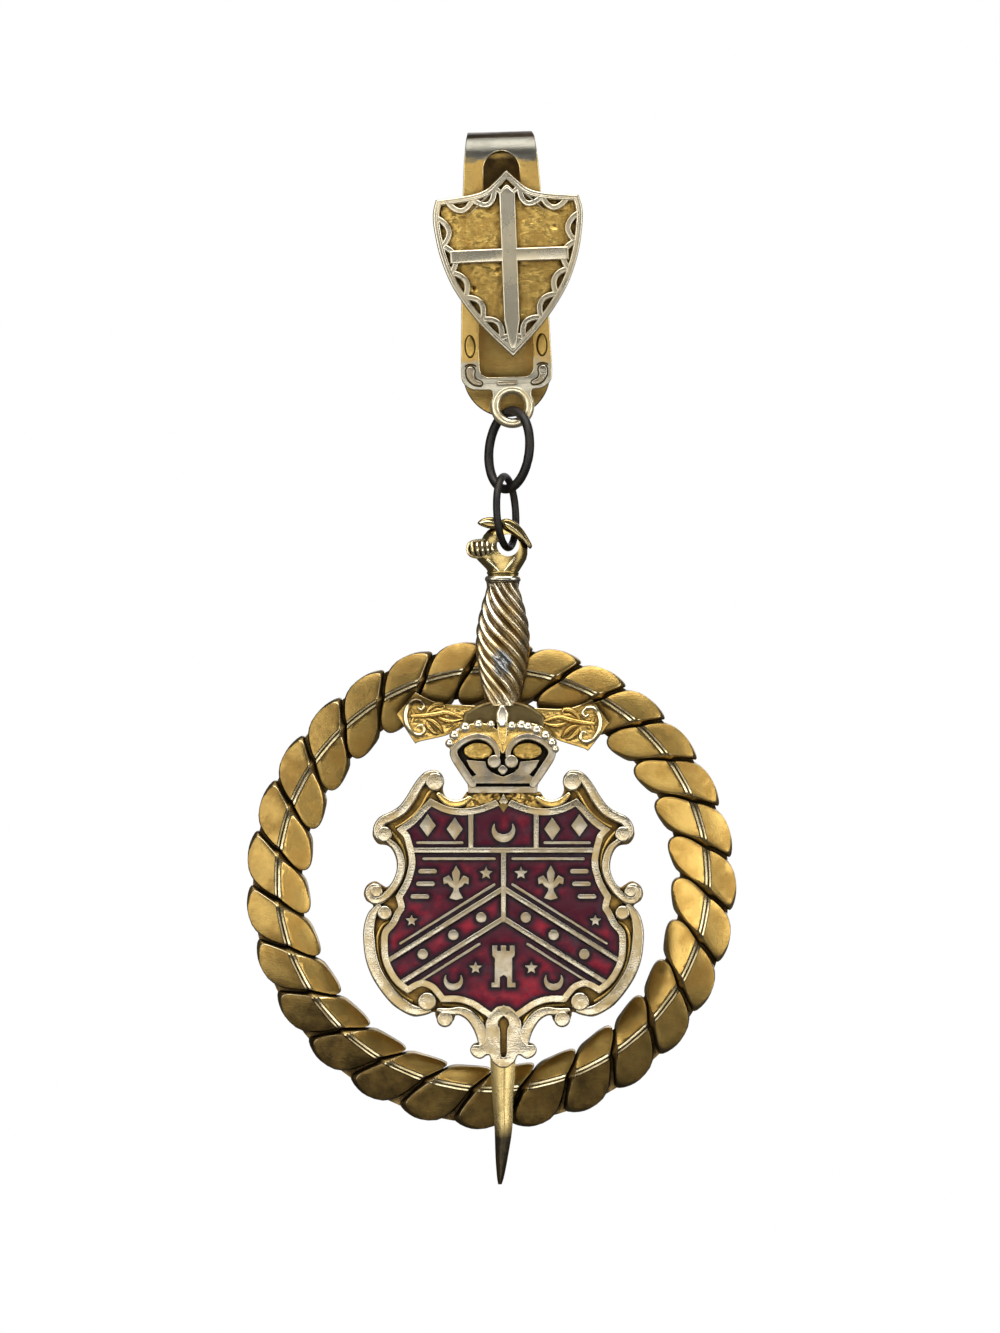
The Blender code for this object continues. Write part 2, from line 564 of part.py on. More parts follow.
def clip_spring_mesh():
    """The clip's strip: a flat blank with its opening, eye and rivet holes, bent over."""
    quarter = FOLD_RADIUS * math.pi / 2
    foot = quarter + FRONT_LEAF
    back = quarter + BACK_LEAF
    corner_x = LEAF_HALF_WIDTH - LEAF_CORNER
    eye = (EYE_SHIFT, -foot - EYE_DROP)
    blank = [(FOLD_HALF_WIDTH, 0.0)]
    blank += arc((corner_x, LEAF_CORNER - foot), LEAF_CORNER, 0, -90, 4)
    blank.append((EYE_SHIFT + EYE_NECK, -foot - EYE_FILLET))
    blank += arc(eye, EYE_RADIUS, 25, -205, 14)
    blank.append((EYE_SHIFT - EYE_NECK, -foot - EYE_FILLET))
    blank += arc((-corner_x, LEAF_CORNER - foot), LEAF_CORNER, 270, 180, 4)
    blank.append((-FOLD_HALF_WIDTH, 0.0))
    blank += arc((0.0, back - BACK_HALF_WIDTH), BACK_HALF_WIDTH, 180, 0, 12)

    slot_top = quarter - SLOT_RISE
    slot_half = FOLD_HALF_WIDTH + (LEAF_HALF_WIDTH - FOLD_HALF_WIDTH) * slot_top / foot - LEAF_BAND
    window_x = LEAF_HALF_WIDTH - LEAF_BAND - WINDOW_CORNER
    window_z = LEAF_FOOT - foot + WINDOW_CORNER
    opening = arc((0.0, -slot_top - slot_half), slot_half, 0, 180, 8)
    opening += arc((-window_x, window_z), WINDOW_CORNER, 180, 270, 3)
    opening += arc((window_x, window_z), WINDOW_CORNER, 270, 360, 3)
    holes = [opening, arc(eye, EYE_HOLE, 0, 345, 15)]
    rivet_z = crest_rivet_z() - LEAF_END_Z - foot
    for side in (-1, 1):
        place = (CREST_SHIFT + side * CREST_PIN_REACH, rivet_z)
        holes.append(arc(place, RIVET_RADIUS + PIN_CLEARANCE, 0, 324, 9))
    strip = outline_slab(blank, -STRIP / 2, STRIP / 2)
    punches = [outline_slab(hole, -STRIP, STRIP) for hole in holes]

    bar_size = (LEAF_BAR[0], LEAF_RELIEF, LEAF_BAR[1])
    relief = [ellipsoid((0.0, SEAT - STRIP / 2, LEAF_FOOT / 2 - foot), bar_size, 8, 6)]
    for side in (-1, 1):
        x = side * (LEAF_HALF_WIDTH - LEAF_BAND / 2)
        for lift, half_width, half_height in LEAF_OVALS:
            size = (half_width, LEAF_RELIEF, half_height)
            relief.append(ellipsoid((x, SEAT - STRIP / 2, lift - foot), size, 8, 6))
    bm = bmesh.new()
    bm.from_mesh(cut(united(strip, *relief), *punches))
    for step in range(-FOLD_STEPS - 1, FOLD_STEPS + 1):
        everything = bm.verts[:] + bm.edges[:] + bm.faces[:]
        bmesh.ops.bisect_plane(bm, geom=everything, dist=1e-7, plane_co=(0, 0, -quarter * step / FOLD_STEPS),
                               plane_no=(0, 0, 1))
    blank_mesh = bpy.data.meshes.new("blank")
    bm.to_mesh(blank_mesh)
    bm.free()
    return reshape(blank_mesh, lambda place: strip_place(place.x, -place.z, -place.y))


def crest_rivet_z():
    """Height of the rivets that hold the clip's shield."""
    return -CREST_TOP - CREST_HEIGHT * CREST_PIN_DROP


def lean(mesh):
    """Turn a piece of the clip by its lean about the origin."""
    mesh.transform(Matrix.Rotation(math.radians(-CLIP_LEAN), 4, "Y"))
    return mesh


# Clip shield


def scallop(path, start, end, depth, steps=6):
    """Points of a half wave that bulges inwards between two shares of a path."""
    first, _ = path_point(path, start)
    last, _ = path_point(path, end)
    along = (last - first).normalized()
    inwards = Vector((along.y, -along.x))
    points = []
    for step in range(steps + 1):
        share = step / steps
        place = first.lerp(last, share) + inwards * depth * math.sin(math.pi * share)
        points.append((place.x, place.y))
    return points


def crest_cells():
    """Sunk shapes of the clip's shield: a cell under each scallop, the four quarters and the chevron."""
    corner = 4
    loop = placed(CREST_EDGE, CREST_HALF_WIDTH, CREST_HEIGHT)
    half = []
    ground = []
    rim = offset_loop(loop, -CREST_RIM)[:len(CREST_EDGE)]
    cusps = offset_loop(loop, -CREST_RIM - CREST_CUSP)[:len(CREST_EDGE)]
    for first, last, starts, end in ((0, corner, CREST_TOP_CUSPS[:-1], CREST_TOP_CUSPS[1:]),
                                     (corner, len(rim) - 1, CREST_SIDE_CUSPS[:-1], CREST_SIDE_CUSPS[1:])):
        for start, stop in zip(starts, end):
            half.append(scallop(rim[first:last + 1], start + CREST_CUSP_GAP, stop - CREST_CUSP_GAP,
                                CREST_CELL_DEPTH))
            ground += scallop(cusps[first:last + 1], start, stop, CREST_CELL_DEPTH)[:-1]
    ground = [(0.0, ground[0][1])] + ground + [(0.0, ground[-1][1])]
    half.append(scallop(rim[corner:], CREST_SIDE_CUSPS[-1] + CREST_CUSP_GAP, 0.95, CREST_CELL_DEPTH * 0.7))
    half_bar = CREST_CROSS / 2
    bar_z = -CREST_HEIGHT * CREST_CROSS_DROP
    ground = clip_loop(ground, (half_bar, 0.0), (-1.0, 0.0))
    half.append(clip_loop(ground, (0.0, bar_z + half_bar), (0.0, -1.0)))
    half.append(clip_loop(ground, (0.0, bar_z - half_bar), (0.0, 1.0)))
    tip = rim[0]
    shoulder, _ = path_point(rim[:corner + 1], CREST_TOP_CUSPS[0] - CREST_CUSP_GAP)
    drop = CREST_CELL_DEPTH * 0.9
    chevron = [tip, tuple(shoulder), (shoulder.x * 0.8, shoulder.y - drop * 0.5), (0.0, tip[1] - drop),
               (-shoulder.x * 0.8, shoulder.y - drop * 0.5), (-shoulder.x, shoulder.y)]
    return half + [[(-x, z) for x, z in reversed(loop)] for loop in half] + [chevron]


def crest_mesh():
    """The shield on the clip, domed, with its rivets."""
    loop = placed(CREST_EDGE, CREST_HALF_WIDTH, CREST_HEIGHT)
    slab = outline_slab(loop, -CREST_THICK, 0.0)
    cells = [outline_slab(cell, -CREST_THICK - OVERSHOOT, CREST_SUNK - CREST_THICK) for cell in crest_cells()]

    def dome(place):
        return Vector((place.x, place.y + CREST_DOME * (place.x / CREST_HALF_WIDTH) ** 2, place.z))

    shield = reshape(cut(slab, *cells), dome)
    shield.transform(Matrix.Translation((CREST_SHIFT, LEAF_FRONT - GAP - CREST_DOME, -CREST_TOP)))
    rivets = [rivet((CREST_SHIFT + side * CREST_PIN_REACH, crest_rivet_z()),
                    LEAF_FRONT - GAP - CREST_DOME - SINK, LEAF_FRONT + STRIP + GAP) for side in (-1, 1)]
    return reshape(united(shield, *rivets))


def rivet(centre, start, head_front, sides=10):
    """A shank that starts inside one piece and ends in a head behind the other."""
    shank = cylinder(centre, RIVET_RADIUS, start, head_front + SINK, sides)
    head = cylinder(centre, RIVET_HEAD, head_front, head_front + RIVET_HEAD_THICK, sides, RIVET_HEAD * 0.7)
    return united(shank, head)


# Links


def link_points(centre, half_width, half_height, turn, tilt):
    """The middle line of an oval link."""
    across = Vector((math.cos(math.radians(turn)), math.sin(math.radians(turn)), 0.0))
    up = Vector((math.sin(math.radians(tilt)), 0.0, math.cos(math.radians(tilt))))
    points = []
    for number in range(LINK_POINTS):
        angle = 2 * math.pi * number / LINK_POINTS
        side = across * half_width * math.sin(angle)
        points.append(Vector(centre) + side + up * half_height * math.cos(angle))
    return points


def link_places():
    """Centres of both links, worked out down from the clip's eye and up from the pommel's hole."""
    eye = Vector((EYE_SHIFT, HANG_Y, LEAF_END_Z - EYE_DROP))
    eye.rotate(Matrix.Rotation(math.radians(-CLIP_LEAN), 3, "Y"))
    head = eye + Vector((0.0, 0.0, UPPER_WIRE + LINK_PLAY - EYE_HOLE))
    up = Vector((math.sin(math.radians(UPPER_TILT)), 0.0, math.cos(math.radians(UPPER_TILT))))
    upper = head - up * UPPER_HALF_HEIGHT
    foot = Vector((PIERCE_X, HANG_Y, -PIERCE_DROP))
    up = Vector((math.sin(math.radians(LOWER_TILT)), 0.0, math.cos(math.radians(LOWER_TILT))))
    lower = foot + up * LOWER_HALF_HEIGHT
    return upper, lower


# Sword


def helmet_mesh():
    """The helmet pommel, seen from its left side, with its visor and plume."""
    z = -PIERCE_DROP
    half = POMMEL_THICK / 2
    skull = ellipsoid((PIERCE_X + SKULL_SHIFT, HANG_Y, z - SKULL_DROP),
                      (SKULL_HALF_WIDTH, half, SKULL_HALF_HEIGHT), 16, 10)
    visor = ellipsoid((PIERCE_X + VISOR_SHIFT, HANG_Y, z - VISOR_DROP),
                      (VISOR_HALF_LENGTH, half * 0.86, VISOR_HALF_HEIGHT), 12, 6)
    neck = loft([oval(PIERCE_X + 2 * SKULL_SHIFT, z - drop * SKULL_HALF_HEIGHT, width * SKULL_HALF_WIDTH,
                      half * 0.9) for drop, width in HELMET_NECK])
    plume = tube([(PIERCE_X + x * SKULL_HALF_WIDTH, HANG_Y, z + lift * SKULL_HALF_HEIGHT)
                  for x, lift in PLUME], PLUME_WIRE)
    return united(skull, visor, neck, plume)


def oval(x, z, half_width, half_depth, points=12):
    """A level oval section round the hanging plane."""
    return [(x + half_width * math.cos(a), HANG_Y + half_depth * math.sin(a), z)
            for a in (2 * math.pi * number / points for number in range(points))]


def grip_section(share):
    """A flat-backed section of the twisted grip."""
    half_width = GRIP_HALF_WIDTH * smooth_table(GRIP_SWELL, share)[0]
    depth = GRIP_DEPTH * (0.35 + 0.65 * half_width / GRIP_HALF_WIDTH)
    z = -COLLAR_DROP - GRIP_LENGTH * share
    twist = GRIP_LENGTH * share / GRIP_HALF_WIDTH
    points = []
    steps = GRIP_FLUTES * 5 // 2
    for step in range(steps + 1):
        angle = math.pi * step / steps
        ridge = abs(math.sin((angle + twist) * GRIP_FLUTES / 2)) - 0.5
        fade = math.sin(angle) ** 0.5 * min(1.0, share * 8, (1 - share) * 8)
        swell = 1.0 + GRIP_FLUTE / GRIP_HALF_WIDTH * ridge * fade
        points.append((SWORD_X + half_width * swell * math.cos(angle),
                       SWORD_BACK - SINK - (depth - SINK) * swell * math.sin(angle), z))
    points.append((SWORD_X - half_width * 0.96, SWORD_BACK - STEP, z))
    points.append((SWORD_X + half_width * 0.96, SWORD_BACK - STEP, z))
    return points


def guard_mesh():
    """The guard: a boss, two arms with raised scrolls, turned a little."""
    front = SWORD_BACK - GUARD_THICK
    pieces = []
    relief = []
    for side in (-1, 1):
        outline = [(side * x * GUARD_REACH, z * GUARD_END) for x, z in GUARD_EDGE]
        pieces.append(outline_slab(outline, front, SWORD_BACK - (2.5 + 0.5 * side) * STEP))
        for scroll in GUARD_SCROLLS:
            points = [(side * x * GUARD_REACH, front + SEAT, z * GUARD_END) for x, z in scroll]
            relief.append(tube(points, GUARD_RELIEF, sides=6))
    boss_loop = [(x * GUARD_REACH, z * GUARD_END) for x, z in GUARD_BOSS]
    boss = outline_slab(boss_loop, front - STEP, SWORD_BACK)
    guard = united(boss, *pieces, *relief)
    guard.transform(Matrix.Translation((SWORD_X, 0.0, -GUARD_DROP))
                    @ Matrix.Rotation(math.radians(GUARD_LEAN), 4, "Y"))
    return guard


def blade_mesh():
    """The blade: flat behind, ridged in front."""
    sections = []
    for share, width, shift in BLADE_TAPER:
        half = BLADE_HALF_WIDTH * width
        x = SWORD_X + BLADE_HALF_WIDTH * shift
        z = -GUARD_DROP - BLADE_LENGTH * share
        thick = BLADE_THICK * min(1.0, 0.35 + width)
        back = SWORD_BACK - 5 * STEP
        sections.append([(x - half, back, z), (x - half, back - thick * 0.45, z),
                         (x, back - thick, z), (x + half, back - thick * 0.45, z), (x + half, back, z)])
    return loft(sections)


def ring_rivet_places():
    """Where the sword is riveted to the ring: at the top and the bottom of the rope."""
    middle = (RING_OUTER + RING_INNER) / 2
    return [(SWORD_X, -RING_DROP + middle), (SWORD_X, -RING_DROP - middle)]


def shield_rivet_places():
    """Where the crowned shield is riveted to the blade."""
    return [(SWORD_X, -SHIELD_DROP - drop) for drop in SHIELD_PIN_DROPS]


def sword_mesh():
    """The whole sword as one casting."""
    collar_points = oval(SWORD_X, -COLLAR_DROP + COLLAR_WIRE, COLLAR_HALF_WIDTH - COLLAR_WIRE,
                         POMMEL_THICK / 2 - COLLAR_WIRE, 14)
    collar = tube(collar_points, COLLAR_WIRE, closed=True)
    grip = loft([grip_section(number / GRIP_RINGS) for number in range(GRIP_RINGS + 1)])
    neck = loft([oval(SWORD_X, -COLLAR_DROP + lift, COLLAR_HALF_WIDTH * 0.82, POMMEL_THICK / 2 * 0.81)
                 for lift in (-COLLAR_WIRE, 4 * COLLAR_WIRE)])
    sword = united(helmet_mesh(), neck, collar, grip, guard_mesh(), blade_mesh())
    holes = [cylinder((PIERCE_X, -PIERCE_DROP), PIERCE_RADIUS, HANG_Y - POMMEL_THICK,
                      SWORD_BACK + OVERSHOOT, 20)]
    for centre in shield_rivet_places():
        holes.append(cylinder(centre, RIVET_RADIUS + PIN_CLEARANCE, SHIELD_BACK, SWORD_BACK + OVERSHOOT, 12))
    rivets = [rivet(centre, SWORD_BACK - 2 * SINK, RING_BACK + GAP) for centre in ring_rivet_places()]
    return reshape(united(cut(sword, *holes), *rivets))


# Rope ring


def lobe_mesh(number):
    """One slanted lobe of the rope, with its ridge on the ring's middle line."""
    bm = bmesh.new()
    bmesh.ops.create_circle(bm, cap_ends=True, segments=LOBE_POINTS, radius=1.0)
    bmesh.ops.bisect_plane(bm, geom=bm.verts[:] + bm.edges[:] + bm.faces[:], dist=1e-6,
                           plane_co=(0, 0, 0), plane_no=(0, 1, 0))
    lifted = bmesh.ops.extrude_face_region(bm, geom=bm.faces[:])["geom"]
    for vertex in (item for item in lifted if isinstance(item, bmesh.types.BMVert)):
        vertex.co.z = 1.0
    middle = (RING_OUTER + RING_INNER) / 2
    band = (RING_OUTER - RING_INNER) / 2
    pitch = 360.0 / RING_LOBES
    for vertex in bm.verts:
        across = math.copysign(abs(vertex.co.x) ** 0.75, vertex.co.x)
        along = math.copysign(abs(vertex.co.y) ** 0.9, vertex.co.y)
        radius = middle + band * along
        angle = RING_PHASE + pitch * number + RING_SLANT * along + pitch / 2 * RING_LOBE_FILL * across
        turn = math.radians(angle)
        front = RING_FRONT + RING_EDGE * abs(along)
        vertex.co = (RING_X + radius * math.sin(turn), front if vertex.co.z > 0.5 else RING_BACK - SINK,
                     -RING_DROP + radius * math.cos(turn))
    return finished(bm)


def ring_mesh():
    """The rope ring: a plain core with the lobes joined on."""
    inner = RING_INNER + RING_CORE_INSET
    outer = RING_OUTER - RING_CORE_INSET
    groove = RING_FRONT + RING_GROOVE
    steps = RING_LOBES * 3
    sections = []
    for number in range(steps):
        turn = 2 * math.pi * number / steps
        corners = ((inner, RING_BACK), (inner, groove), (outer, groove), (outer, RING_BACK))
        sections.append([(RING_X + radius * math.sin(turn), y, -RING_DROP + radius * math.cos(turn))
                         for radius, y in corners])
    bm = bmesh.new()
    rings = [[bm.verts.new(point) for point in section] for section in sections]
    for ring, following in zip(rings, rings[1:] + rings[:1]):
        for index in range(4):
            after = (index + 1) % 4
            bm.faces.new((ring[index], ring[after], following[after], following[index]))
    core = finished(bm)
    ring = united(core, joined_loose([lobe_mesh(number) for number in range(RING_LOBES)]))
    holes = [cylinder(centre, RIVET_RADIUS + PIN_CLEARANCE, RING_FRONT - OVERSHOOT, RING_BACK + OVERSHOOT, 12)
             for centre in ring_rivet_places()]
    return reshape(cut(ring, *holes))


# Crowned shield and its enamel


def shield_point(x, z):
    """Shares of the shield's size as a place."""
    return (SHIELD_X + x * SHIELD_HALF_WIDTH, -SHIELD_DROP - z * SHIELD_HEIGHT)


def charge_loop(figure, x, z, size):
    """One raised figure as a loop."""
    reach = size * SHIELD_HALF_WIDTH
    shapes = {
        "lozenge": [(0.0, 1.0), (0.72, 0.0), (0.0, -1.0), (-0.72, 0.0)],
        "roundel": arc((0.0, 0.0), 1.0, 0, 315, 7),
        "bar": [(-1.0, -0.27), (1.0, -0.27), (1.0, 0.27), (-1.0, 0.27)],
        "crescent": arc((0.0, 0.0), 1.0, -215, 35, 7) + arc((0.0, 0.42), 0.74, 12, -192, 5),
        "lily": mirrored(LILY),
        "tower": mirrored(TOWER),
    }
    middle_x, middle_z = shield_point(x, z)
    return [(middle_x + px * reach, middle_z + pz * reach) for px, pz in shapes[figure]]


def figures(cell, front, back, grow=0.0):
    """All raised figures of one cell, as slabs between two Y planes."""
    loops = [offset_loop(charge_loop(*row[1:]), grow) for row in CHARGES if row[0] == cell]
    return [outline_slab(loop, front, back) for loop in loops]


def enamel_cells():
    """The outline of each cell, from the enamel's edge cut by the raised lines."""
    edge = [shield_point(x, z) for x, z in mirrored(ENAMEL_EDGE)]
    half = SHIELD_LINE / 2
    chief_z = -SHIELD_DROP - CHIEF_LINE * SHIELD_HEIGHT
    split = CHIEF_SPLIT * SHIELD_HALF_WIDTH
    apex = Vector(shield_point(0.0, CHEVRON_APEX))
    band_foot = Vector(shield_point(0.0, CHEVRON_APEX + CHEVRON_BAND))
    fall = CHEVRON_DROP * SHIELD_HEIGHT

    def keep(loop, *limits):
        for point, normal in limits:
            loop = clip_loop(loop, point, Vector(normal).normalized())
        return loop

    def beside(x, side):
        """Limit a cell to one side of an upright line."""
        return ((SHIELD_X + x + side * half, 0.0), (-side, 0.0))

    above_chief = ((0.0, chief_z + half), (0.0, -1.0))
    below_chief = ((0.0, chief_z - half), (0.0, 1.0))
    cells = {
        "chief_left": keep(edge, above_chief, beside(-split, -1)),
        "chief_middle": keep(edge, above_chief, beside(-split, 1), beside(split, -1)),
        "chief_right": keep(edge, above_chief, beside(split, 1)),
    }
    for name, side in (("left", -1), ("right", 1)):
        upright = Vector((side * fall, SHIELD_HALF_WIDTH)).normalized()
        above = (tuple(apex + upright * half), tuple(-upright))
        under = (tuple(apex - upright * half), tuple(upright))
        over_foot = (tuple(band_foot + upright * half), tuple(-upright))
        cells["field_" + name] = keep(edge, below_chief, beside(0.0, side), above)
        cells["chevron_" + name] = keep(edge, beside(0.0, side), under, over_foot)
    base = edge
    for side in (-1, 1):
        upright = Vector((side * fall, SHIELD_HALF_WIDTH)).normalized()
        base = keep(base, (tuple(band_foot - upright * half), tuple(upright)))
    cells["base"] = base
    return cells


def crown_point(x, z):
    """Shares of the crown's size as a place."""
    foot = -SHIELD_DROP - CROWN_FOOT
    return (SHIELD_X + CROWN_X + x * CROWN_HALF_WIDTH, foot + CROWN_HEIGHT * (1.0 - z))


def crown_pieces():
    """The crown's raised parts."""
    pieces = []
    front = SHIELD_FRONT + SEAT
    for side in (-1, 1):
        for x, z in CROWN_BEADS:
            place = crown_point(side * x, z)
            pieces.append(ellipsoid((place[0], front, place[1]), (CROWN_BEAD,) * 3, 8, 5))
        arch = [crown_point(side * x, z) for x, z in CROWN_ARCH]
        pieces.append(tube([(x, front, z) for x, z in arch], CROWN_WIRE))
        ball = crown_point(side * CROWN_CURL[0], CROWN_CURL[1])
        pieces.append(ellipsoid((ball[0], front, ball[1]), CROWN_BALL, 8, 5))
    finial = crown_point(*CROWN_TOP)
    pieces.append(ellipsoid((finial[0], front + SEAT, finial[1]), CROWN_FINIAL, 8, 5))
    return pieces


def crowned_shield_cuts():
    """All that is sunk into the crowned shield: cells, channels, the crown's recesses, the keyhole."""
    front = SHIELD_FRONT - OVERSHOOT
    cuts = [outline_slab(loop, front, SHIELD_FRONT + CELL_DEPTH) for loop in enamel_cells().values()]
    sunk = [[shield_point(x, z) for x, z in mirrored(KEYHOLE)]]
    half_slot, slot_top, slot_foot = CROWN_SLOT
    sunk.append([crown_point(-half_slot, slot_foot), crown_point(half_slot, slot_foot),
                 crown_point(half_slot, slot_top), crown_point(-half_slot, slot_top)])
    for side in (-1, 1):
        for path in CHANNELS:
            points = [shield_point(side * x, z) for x, z in path]
            cuts.append(tube([(x, SHIELD_FRONT - SEAT, z) for x, z in points], CHANNEL_WIRE))
        sunk.append([crown_point(side * x, z) for x, z in CROWN_RECESS])
    return cuts + [outline_slab(loop, front, SHIELD_FRONT + CROWN_SUNK) for loop in sunk]


def crowned_shield_mesh():
    """The shield's metal: frame, crown, channels, cells and figures, with its rivets."""
    frame = outline_slab([shield_point(x, z) for x, z in mirrored(FRAME_EDGE)], SHIELD_FRONT, SHIELD_BACK)
    crown = outline_slab([crown_point(x, z) for x, z in mirrored(CROWN_EDGE)],
                         SHIELD_FRONT - 3 * STEP, SHIELD_BACK - STEP)
    balls = []
    jewels = []
    for side in (-1, 1):
        for x, z, radius in FRAME_BALLS:
            centre = shield_point(side * x, z)
            balls.append(cylinder(centre, radius * SHIELD_HALF_WIDTH, SHIELD_FRONT - 2 * STEP,
                                  SHIELD_BACK - 2 * STEP, 12))
        jewel = arc(crown_point(side * CROWN_OVAL[0], CROWN_OVAL[1]), CROWN_JEWEL, 0, 315, 7, 0.55)
        jewels.append(outline_slab(jewel, SHIELD_FRONT - STEP, SHIELD_FRONT + CROWN_SUNK + SINK))
    plate = cut(united(frame, crown, *balls), *crowned_shield_cuts())
    raised = [figure for name in enamel_cells()
              for figure in figures(name, SHIELD_FRONT, SHIELD_FRONT + CELL_DEPTH + SINK)]
    rivets = [rivet(centre, SHIELD_BACK - SINK, SWORD_BACK + GAP) for centre in shield_rivet_places()]
    return reshape(united(plate, *raised, *jewels, *crown_pieces(), *rivets))


def enamel_mesh(name, loop):
    """One enamel body, clear of the walls and figures round it."""
    back = SHIELD_FRONT + CELL_DEPTH - ENAMEL_GAP
    front = back - ENAMEL_THICK
    slab = outline_slab(offset_loop(loop, -ENAMEL_GAP), front, back)
    return reshape(cut(slab, *figures(name, front - OVERSHOOT, back + OVERSHOOT, ENAMEL_GAP)))


def build():
    """Model the whole badge."""
    start_scene()
    gilt = metal("old_gilt", (0.62, 0.42, 0.12), 0.34)
    silver_gilt = metal("silver_gilt", (0.72, 0.66, 0.50), 0.36)
    black_wire = metal("blackened_steel", (0.035, 0.033, 0.03), 0.55)
    enamel = metal("red_enamel", (0.30, 0.01, 0.025), 0.12, 0.0)

    add_part("clip_spring", lean(clip_spring_mesh()), gilt)
    add_part("clip_shield", lean(crest_mesh()), silver_gilt)
    upper, lower = link_places()
    oval_path = link_points(upper, UPPER_HALF_WIDTH, UPPER_HALF_HEIGHT, UPPER_TURN, UPPER_TILT)
    add_part("link_upper", tube(oval_path, UPPER_WIRE, closed=True), black_wire)
    oval_path = link_points(lower, LOWER_HALF_WIDTH, LOWER_HALF_HEIGHT, LOWER_TURN, LOWER_TILT)
    add_part("link_lower", tube(oval_path, LOWER_WIRE, closed=True), black_wire)
    pendant = [add_part("sword", sword_mesh(), silver_gilt),
               add_part("rope_ring", ring_mesh(), gilt),
               add_part("crowned_shield", crowned_shield_mesh(), silver_gilt)]
    for name, loop in enamel_cells().items():
        pendant.append(add_part("enamel_" + name, enamel_mesh(name, loop), enamel))
    hang_on("pendant_pivot", (PIERCE_X, HANG_Y, -PIERCE_DROP), pendant)


build()
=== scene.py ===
"""Looks of the enamel medal badge: the pieces that are seen, their finishes, the light and the camera."""

import logging
import math
import random
from dataclasses import dataclass, replace
from enum import Enum
from typing import Callable, Iterable, Sequence

import bmesh
import bpy
from mathutils import Matrix, Vector, kdtree, noise


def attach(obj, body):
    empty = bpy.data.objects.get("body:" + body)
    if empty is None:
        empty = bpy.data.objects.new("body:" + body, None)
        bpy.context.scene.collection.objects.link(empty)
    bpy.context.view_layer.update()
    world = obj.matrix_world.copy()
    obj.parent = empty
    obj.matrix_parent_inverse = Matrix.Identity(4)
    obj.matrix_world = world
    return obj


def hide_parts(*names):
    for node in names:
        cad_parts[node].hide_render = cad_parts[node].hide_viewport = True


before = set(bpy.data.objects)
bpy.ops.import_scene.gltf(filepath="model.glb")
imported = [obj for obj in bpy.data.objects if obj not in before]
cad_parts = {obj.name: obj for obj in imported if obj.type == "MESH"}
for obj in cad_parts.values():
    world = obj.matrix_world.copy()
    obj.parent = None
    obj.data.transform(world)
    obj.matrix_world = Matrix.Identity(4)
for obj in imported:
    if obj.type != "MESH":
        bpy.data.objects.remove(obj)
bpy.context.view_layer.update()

log = logging.getLogger("medal_badge")

Point = tuple[float, float]
Loop = list[Point]
Triple = tuple[float, float, float]
Value = float | Vector
Thing = bpy.types.Object
Material = bpy.types.Material
Socket = bpy.types.NodeSocket

# The script models in millimetres, and settle() scales each finished piece to metres.
METRES = 0.001
GRID = 0.105            # tables of outlines count in steps of this size
GRID_X = 500.5          # table x of the hanging line
GRID_Z = 137.0          # table z of the origin, counted downwards
GAP = 0.20              # between pieces that are fixed to each other

# Planes of the frame, in millimetres along Y
HANG_Y = -2.3
LEAF_FRONT = -2.7
SWORD_BACK = -1.0
RING_FRONT = -0.8
RING_BACK = 2.4
SHIELD_BACK = -3.0
SHIELD_FRONT = -4.8
PIERCE = (0.80, -42.85)        # the pommel's hole, x and z
RING_CENTRE = (-1.0, -78.75)   # x and z

# How far a face is turned to the front or the back: flat on it, or more than a wall
FLAT_ON = 0.96
NOT_WALL = 0.12


class Body(Enum):
    """The two bodies that pieces ride on."""

    CLIP = "clip"
    MEDAL = "medal"


class Slot(Enum):
    """The record's material slots."""

    GILT = "old_gilt"
    SILVER = "silver_gilt"
    STEEL = "blackened_steel"
    ENAMEL = "red_enamel"


# Finishes


